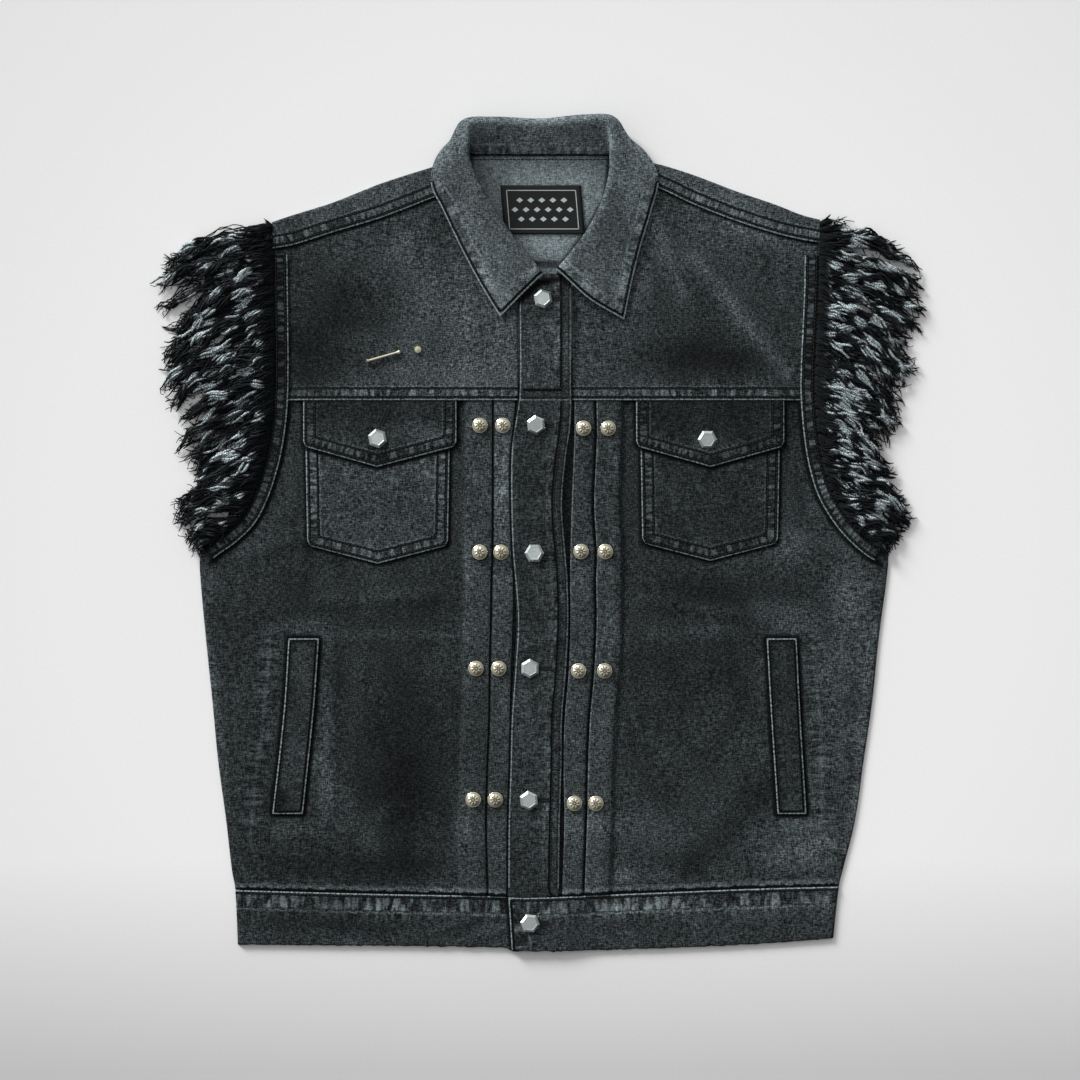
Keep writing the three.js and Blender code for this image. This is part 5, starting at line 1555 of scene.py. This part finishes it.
STUD_NAMES = ["stud_{}_{}{}".format(row, side, k) for row in "abcd" for side in WAY for k in (1, 2)]
for k, name in enumerate(STUD_NAMES):
    bm = bmesh.new()
    outline_verts = [bm.verts.new((r, 0, z)) for r, z in STUD_PROFILE]
    rails = [bm.edges.new(pair) for pair in zip(outline_verts[:-1], outline_verts[1:])]
    bmesh.ops.spin(bm, geom=outline_verts + rails, cent=(0, 0, 0), axis=(0, 0, 1), angle=math.tau,
                   steps=STUD_SIDES, use_merge=True)
    bmesh.ops.remove_doubles(bm, verts=bm.verts, dist=0.01)
    foot = [e for e in bm.edges if e.is_boundary]
    bmesh.ops.contextual_create(bm, geom=foot)
    bmesh.ops.recalc_face_normals(bm, faces=bm.faces)
    lows = []
    for v in bm.verts:
        radius, angle = math.hypot(v.co.x, v.co.y), math.atan2(v.co.y, v.co.x)
        raised = stud_relief(radius, angle) if v.co.z > 2.2 else 0.0
        v.co.z += raised
        groove = math.exp(-((radius - 5.65) / 0.35) ** 2) if v.co.z > 2 else 0.0
        lows.append(min(1.0, max(0.0, -3.2 * raised) + 0.8 * groove))
    bm.verts.index_update()
    seat(bm, name, STUD_LEAN * math.sin(3.1 * k), STUD_LEAN * math.cos(2.3 * k), k * 0.7)
    piece = to_piece(bm, name + "_metal", SILVER, name)
    write(piece.data, "low", lows)
print("studs:", len(STUD_NAMES))

# %% [markdown]
# ## Frayed armholes
#
# The sleeves were torn off and the cloth left to fray. Yarns hang in twisted locks, pale where the
# dye was washed out and black elsewhere, with curled black thread ends among them. One straight tube is
# made for each number of rings, and is bent and added again for every yarn.

# %% Yarn finish
CRIMP = 1.9                      # the weave's waves in a yarn, in millimetres


def yarn_material():
    """Loose cotton: pale and black stretches, each with the crimp that the weave pressed into it, painted as
    a shade once in each wave.
    """
    made, t, shell = new_material("frayed_cotton_yarn", 0.95, Specular_IOR_Level=0.1)
    place = put(t, "TexCoord", out=3)
    fibre = put(t, "TexNoise", {"Vector": place, "Scale": 950.0, "Detail": 2.5, "Roughness": 0.75})
    turn = times(t, stored(t, "along"), math.tau / CRIMP)
    wave = put(t, "Math", {0: plus(t, times(t, fibre, 9.0), turn)}, operation="SINE")
    # Painted shade: the pale is dimmed once in each wave of the crimp; the fibre adds random dark spots.
    crimp_shade_and_spots = times(t, ramp(t, wave, -0.7, 0.4, 0.6, 1.0), ramp(t, fibre, 0.40, 0.54, 0.12, 1.0))
    worn = times(t, stored(t, "pale"), crimp_shade_and_spots)
    tone = put(t, "Mix", {0: worn, 6: linear("#16191b"), 7: linear("#cbd9dd")}, out=2, data_type="RGBA")
    light = ramp(t, fibre, 0.32, 0.68, 0.35, 1.55)
    shaded = put(t, "VectorMath", {0: tone, "Scale": light}, operation="SCALE")
    t.links.new(shaded, shell.inputs["Base Color"])
    bump = put(t, "Bump", {"Strength": 0.7, "Distance": 0.0004, "Height": fibre})
    t.links.new(bump, shell.inputs["Normal"])
    return made


YARN = yarn_material()

# %% Where the fringes reach
FRINGE_TIPS = {
    "right": table("root x y", [
        (267.5, -262, 267), (263.5, -279, 252), (259.5, -322, 237), (253.5, -334, 229),
        (240.5, -337, 210), (229, -332, 191), (214.5, -325, 171), (201.5, -328, 156), (186, -333, 133),
        (171, -330, 122), (158, -310, 119), (147.5, -326, 111), (132, -317, 97), (119, -310, 85),
        (110, -324, 71), (97, -308, 55), (79.5, -303, 43), (62, -307, 30), (45, -320, 20.5),
        (27.5, -321, 10), (5.5, -309, -6), (-16, -298, -18),
    ]),
    "left": table("root x y", [
        (267.5, 266, 273), (265.5, 282, 264), (262.5, 300, 252), (253.5, 328, 233), (240.5, 336, 210),
        (227.5, 336, 188.5), (214.5, 335, 173.5), (203, 323, 160.5), (188, 328, 140.5), (171, 320, 121.5),
        (153.5, 315, 103), (136, 314, 87.5), (119, 305, 75), (105.5, 301, 61.5), (88.5, 310.5, 45.5),
        (71, 298, 39.5), (53, 320, 24), (32, 326, 8), (10, 316, -7.5), (-12, 304, -18.5),
    ]),
}

# %% Tubes bent into yarns
YARN_SIDES = 4
YARN_STEP = {"front": 2.8, "back": 3.6}
tubes = {}


def straight_tube(rings):
    """A closed tube of so many rings, made once, with each vertex's ring and its place round it."""
    if rings not in tubes:
        bm = bmesh.new()
        bmesh.ops.create_cone(bm, cap_ends=True, segments=YARN_SIDES, radius1=1, radius2=1, depth=rings - 1)
        long_edges = [e for e in bm.edges if abs(e.verts[0].co.z - e.verts[1].co.z) > 0.5]
        bmesh.ops.subdivide_edges(bm, edges=long_edges, cuts=rings - 2)
        mesh = bpy.data.meshes.new("tube")
        bm.to_mesh(mesh)
        bm.free()
        place = np.array([v.co for v in mesh.vertices])
        tubes[rings] = mesh, np.round(place[:, 2] + (rings - 1) / 2).astype(int), place[:, :2]
    return tubes[rings]


def add_strand(bm, points, radii, marks, marks_of):
    """Bends a tube along points and adds it. marks are two values at each point, for the finish."""
    mesh, ring, unit = straight_tube(len(points))
    ahead = np.gradient(points, axis=0)
    ahead /= np.linalg.norm(ahead, axis=1, keepdims=True)
    beside = np.cross((0.0, 0.0, 1.0), ahead)
    beside /= np.linalg.norm(beside, axis=1, keepdims=True) + 1e-9
    up = np.cross(ahead, beside)
    swell = unit * radii[ring, None]
    place = points[ring] + beside[ring] * swell[:, :1] + up[ring] * swell[:, 1:]
    mesh.vertices.foreach_set("co", place.ravel())
    bm.from_mesh(mesh)
    marks_of.append(marks[ring])


def waver(seed, distance, every):
    """A smooth random wave along a yarn."""
    return np.array([noise.noise((seed, d / every, 0.5)) for d in distance])


def clip01(values):
    """The values, kept from 0 to 1."""
    return np.clip(values, 0, 1)


def add_lock(bm, marks_of, root, tip, heights, yarns, worn, black, step):
    """A lock: yarns twisted round one another from the armhole's edge to a tip, pale and black by turns.
    worn is the chance that its yarns have lost their dye. They are black as far as black from the edge."""
    length = float(np.hypot(*(tip - root)))
    ahead = (tip - root) / length
    beside = np.array((-ahead[1], ahead[0]))
    arch = 0.07 * length * math.copysign(1, beside[1])
    seed = random.uniform(0, 500)
    bundle = random.uniform(1.5, 3.0)
    twist = random.choice((-1, 1)) * math.tau / random.uniform(40, 110)
    period, first = random.uniform(28, 52), random.uniform(0, 45)
    pale_long = random.uniform(0.35, 0.7) * period
    lost_dye = 0.92 if random.random() < worn else 0.10
    for k in range(yarns):
        own = length * random.uniform(0.82, 1.03)
        d = np.linspace(0, own, max(5, round(own / step)) + 1)
        t = d / length
        grown = clip01(d / 14)
        spread = bundle * clip01(0.5 + d / 20) * (1 + 0.8 * waver(seed + 30, d, 13))
        angle = twist * d + math.tau * k / yarns
        curl = random.uniform(-6, 6) * clip01((d - own + 9) / 9) ** 2
        sideways = arch * np.sin(math.pi * clip01(t)) + 7 * clip01(d / 40) * waver(seed, d, 26)
        sideways += grown * (2.6 * waver(seed + 7, d, 11) + 2.2 * waver(seed + 50 + 9 * k, d, 8))
        sideways += spread * np.cos(angle) + curl
        high = np.interp(t, (0, 0.3, 0.75, 1), heights) + 0.8 * spread * np.sin(angle)
        high += grown * 2.0 * waver(seed + 80 + 9 * k, d, 7)
        is_worn = random.random() < lost_dye
        turn = (d + first + random.uniform(-3.5, 3.5)) % period
        pale = clip01(turn / 1.5) * clip01((pale_long * random.uniform(0.7, 1.1) - turn) / 1.5)
        pale = pale * clip01((d - black) / 4) * clip01((own - 4 - d) / 3)
        pale = pale * (random.uniform(0.6, 1.0) if is_worn else 0.06)
        thick = random.uniform(0.85, 1.25) if is_worn else random.uniform(0.5, 0.8)
        radii = thick * (0.8 + 0.35 * pale)
        radii[-2:] *= (0.8, 0.45)
        flat = root + np.outer(d, ahead) + np.outer(sideways, beside)
        points = np.column_stack([flat, np.maximum(radii + 0.35, high)])
        add_strand(bm, points, radii, np.column_stack([pale, d + 5 * k]), marks_of)


def add_curl(bm, marks_of, place, heading, high):
    """A short black end of thread that curls where it likes."""
    points = [np.array((*place, high))]
    bend = random.gauss(0, 0.3)
    for _ in range(random.randint(3, 7)):
        heading += bend + random.gauss(0, 0.35)
        step = np.array((1.5 * math.cos(heading), 1.5 * math.sin(heading), random.gauss(-0.1, 0.5)))
        points.append(points[-1] + step)
    points = np.array(points)
    radii = np.linspace(0.42, 0.26, len(points))
    points[:, 2] = np.maximum(points[:, 2], radii + 0.3)
    add_strand(bm, points, radii, np.zeros((len(points), 2)), marks_of)


REACH = {"long": (0.88, 1.0), "short": (0.45, 0.8), "stub": (0.16, 0.36)}   # of the way to the tip
LOCK_BASE = {"front": 3.6, "back": 1.6}          # heights in millimetres
LOCK_TOP = {"front": (5, 10.5), "back": (2.5, 5)}
BLACK_EDGE = {"right": 9.5, "left": 8}
ROOT_Y = (-14, 267)


def fringe(side, half, locks, yarns, worn, stubs, curls):
    """One fringe: locks gathered towards the tips, short stubs at the edge and loose thread ends."""
    tips = FRINGE_TIPS[side]
    tip_x, tip_y = curve(tips, "root", "x"), curve(tips, "root", "y")
    base = LOCK_BASE[half]
    bm = bmesh.new()
    marks_of = []
    ends = []
    for k in range(locks + stubs):
        is_stub = k >= locks
        share = (k - locks + random.random()) / stubs if is_stub else (k + random.random()) / locks
        root_y = mix(*ROOT_Y, share)
        root = np.array((armhole_of[side](root_y) + WAY[side] * 0.5, root_y))
        nearest_tip = min(tips, key=lambda tip: abs(tip.root - root_y))
        long = not is_stub and (half == "back" or k % 5 not in (0, 2))
        aim = mix(root_y, nearest_tip.root, 0.45 if long else 0) + random.gauss(0, 2.5 if long else 9)
        aim = min(ROOT_Y[1], max(ROOT_Y[0], aim))
        tip = np.array((tip_x(aim), tip_y(aim)))
        reach = random.uniform(*REACH["long" if long else "stub" if is_stub else "short"])
        tip = root + (tip - root) * reach
        high = random.uniform(*LOCK_TOP[half])
        heights = (base, high, 0.7 * high + 1, 2.2 + (1 - reach) * 5)
        add_lock(bm, marks_of, root, tip, heights, yarns - 2 * is_stub, 0.3 * worn if is_stub else worn,
                 black=BLACK_EDGE[side], step=YARN_STEP[half])
        ends.append((root, tip, high))
    for _ in range(curls):
        root, tip, high = random.choice(ends)
        share = random.uniform(0.4, 1.0)
        way = tip - root
        heading = math.atan2(way[1], way[0]) + random.gauss(0, 0.8)
        add_curl(bm, marks_of, root + way * share, heading, mix(high, 2.5, share) + 1.5)
    marks = np.concatenate(marks_of)
    node = "fringe_{}_{}".format(side, half)
    piece = to_piece(bm, node + "_yarn", YARN, node)
    write(piece.data, "pale", marks[:, 0])
    write(piece.data, "along", marks[:, 1])
    print(piece.name, len(piece.data.polygons), "faces")


random.seed(11)
for side, worn in (("right", 0.54), ("left", 0.92)):
    fringe(side, "back", locks=66, yarns=5, worn=0.12, stubs=30, curls=120)
    fringe(side, "front", locks=76, yarns=8, worn=worn, stubs=56, curls=320)
for mesh, _, _ in tubes.values():
    bpy.data.meshes.remove(mesh)

# %% [markdown]
# ## Label
#
# A woven black satin label with a plain border and rows of small lozenges.

# %% Label
LABEL_Y = (258.5, 301)
LABEL_LONG = LABEL_Y[1] - LABEL_Y[0]
LABEL_MIDDLE = (LABEL_Y[0] + LABEL_Y[1]) / 2
LABEL_Z = layer(1) - 0.1
LEAN = 3.5                       # its sides lean this far to the left on their way up
SATIN = plain("woven_black_satin", "#0c0e0f", 0.55)


def label_side(x):
    """The label's side as a function of y, from its x at the lower end."""
    return lambda y: mix(x, x - LEAN, (y - LABEL_Y[0]) / LABEL_LONG)


bm = bmesh.new()
add_grid(bm, shares(30), steps(*LABEL_Y, 1.5), across(label_side(-31), label_side(39), lambda x, y: LABEL_Z))
label = to_piece(bm, "label_satin", SATIN, "label")
thicken(label, 1.0)

# %% The label's woven pattern
PATTERN_HIGH = 0.3
BORDER = 0.7
LOZENGE_R = 3.0
BARS = [                         # middle, width and height
    (0, 296.5, 60, BORDER), (0, 263, 60, BORDER),
    (-30, LABEL_MIDDLE, BORDER, 34.2), (30, LABEL_MIDDLE, BORDER, 34.2),
]
LOZENGES = [(288, 5), (LABEL_MIDDLE, 6), (271.5, 5)]      # y and how many
VISCOSE = plain("silver_grey_viscose_yarn", "#aab3b4", 0.6)


def on_label(x, y):
    """A place on the satin, from the label's middle line."""
    return Vector((x + 2.25 - LEAN * (y - LABEL_MIDDLE) / LABEL_LONG, y, LABEL_Z + 0.6))


bm = bmesh.new()
for x, y, wide, high in BARS:
    for v in bmesh.ops.create_cube(bm, size=1.0)["verts"]:
        v.co = on_label(x + v.co.x * wide, y + v.co.y * high) + Vector((0, 0, PATTERN_HIGH * v.co.z))
for y, count in LOZENGES:
    for k in range(count):
        lozenge = bmesh.ops.create_cone(bm, cap_ends=True, segments=4, radius1=LOZENGE_R, radius2=LOZENGE_R,
                                        depth=PATTERN_HIGH)
        middle = on_label(9.6 * (k - (count - 1) / 2), y)
        place = Matrix.Translation(middle) @ Matrix.Diagonal((1, 0.75, 1, 1))
        bmesh.ops.transform(bm, matrix=place, verts=lozenge["verts"])
to_piece(bm, "label_pattern", VISCOSE, None).data.shade_flat()

# %% Chest pin and bead
for name in ("bar_pin", "chest_bead"):
    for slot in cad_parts[name].material_slots:
        slot.material = SILVER
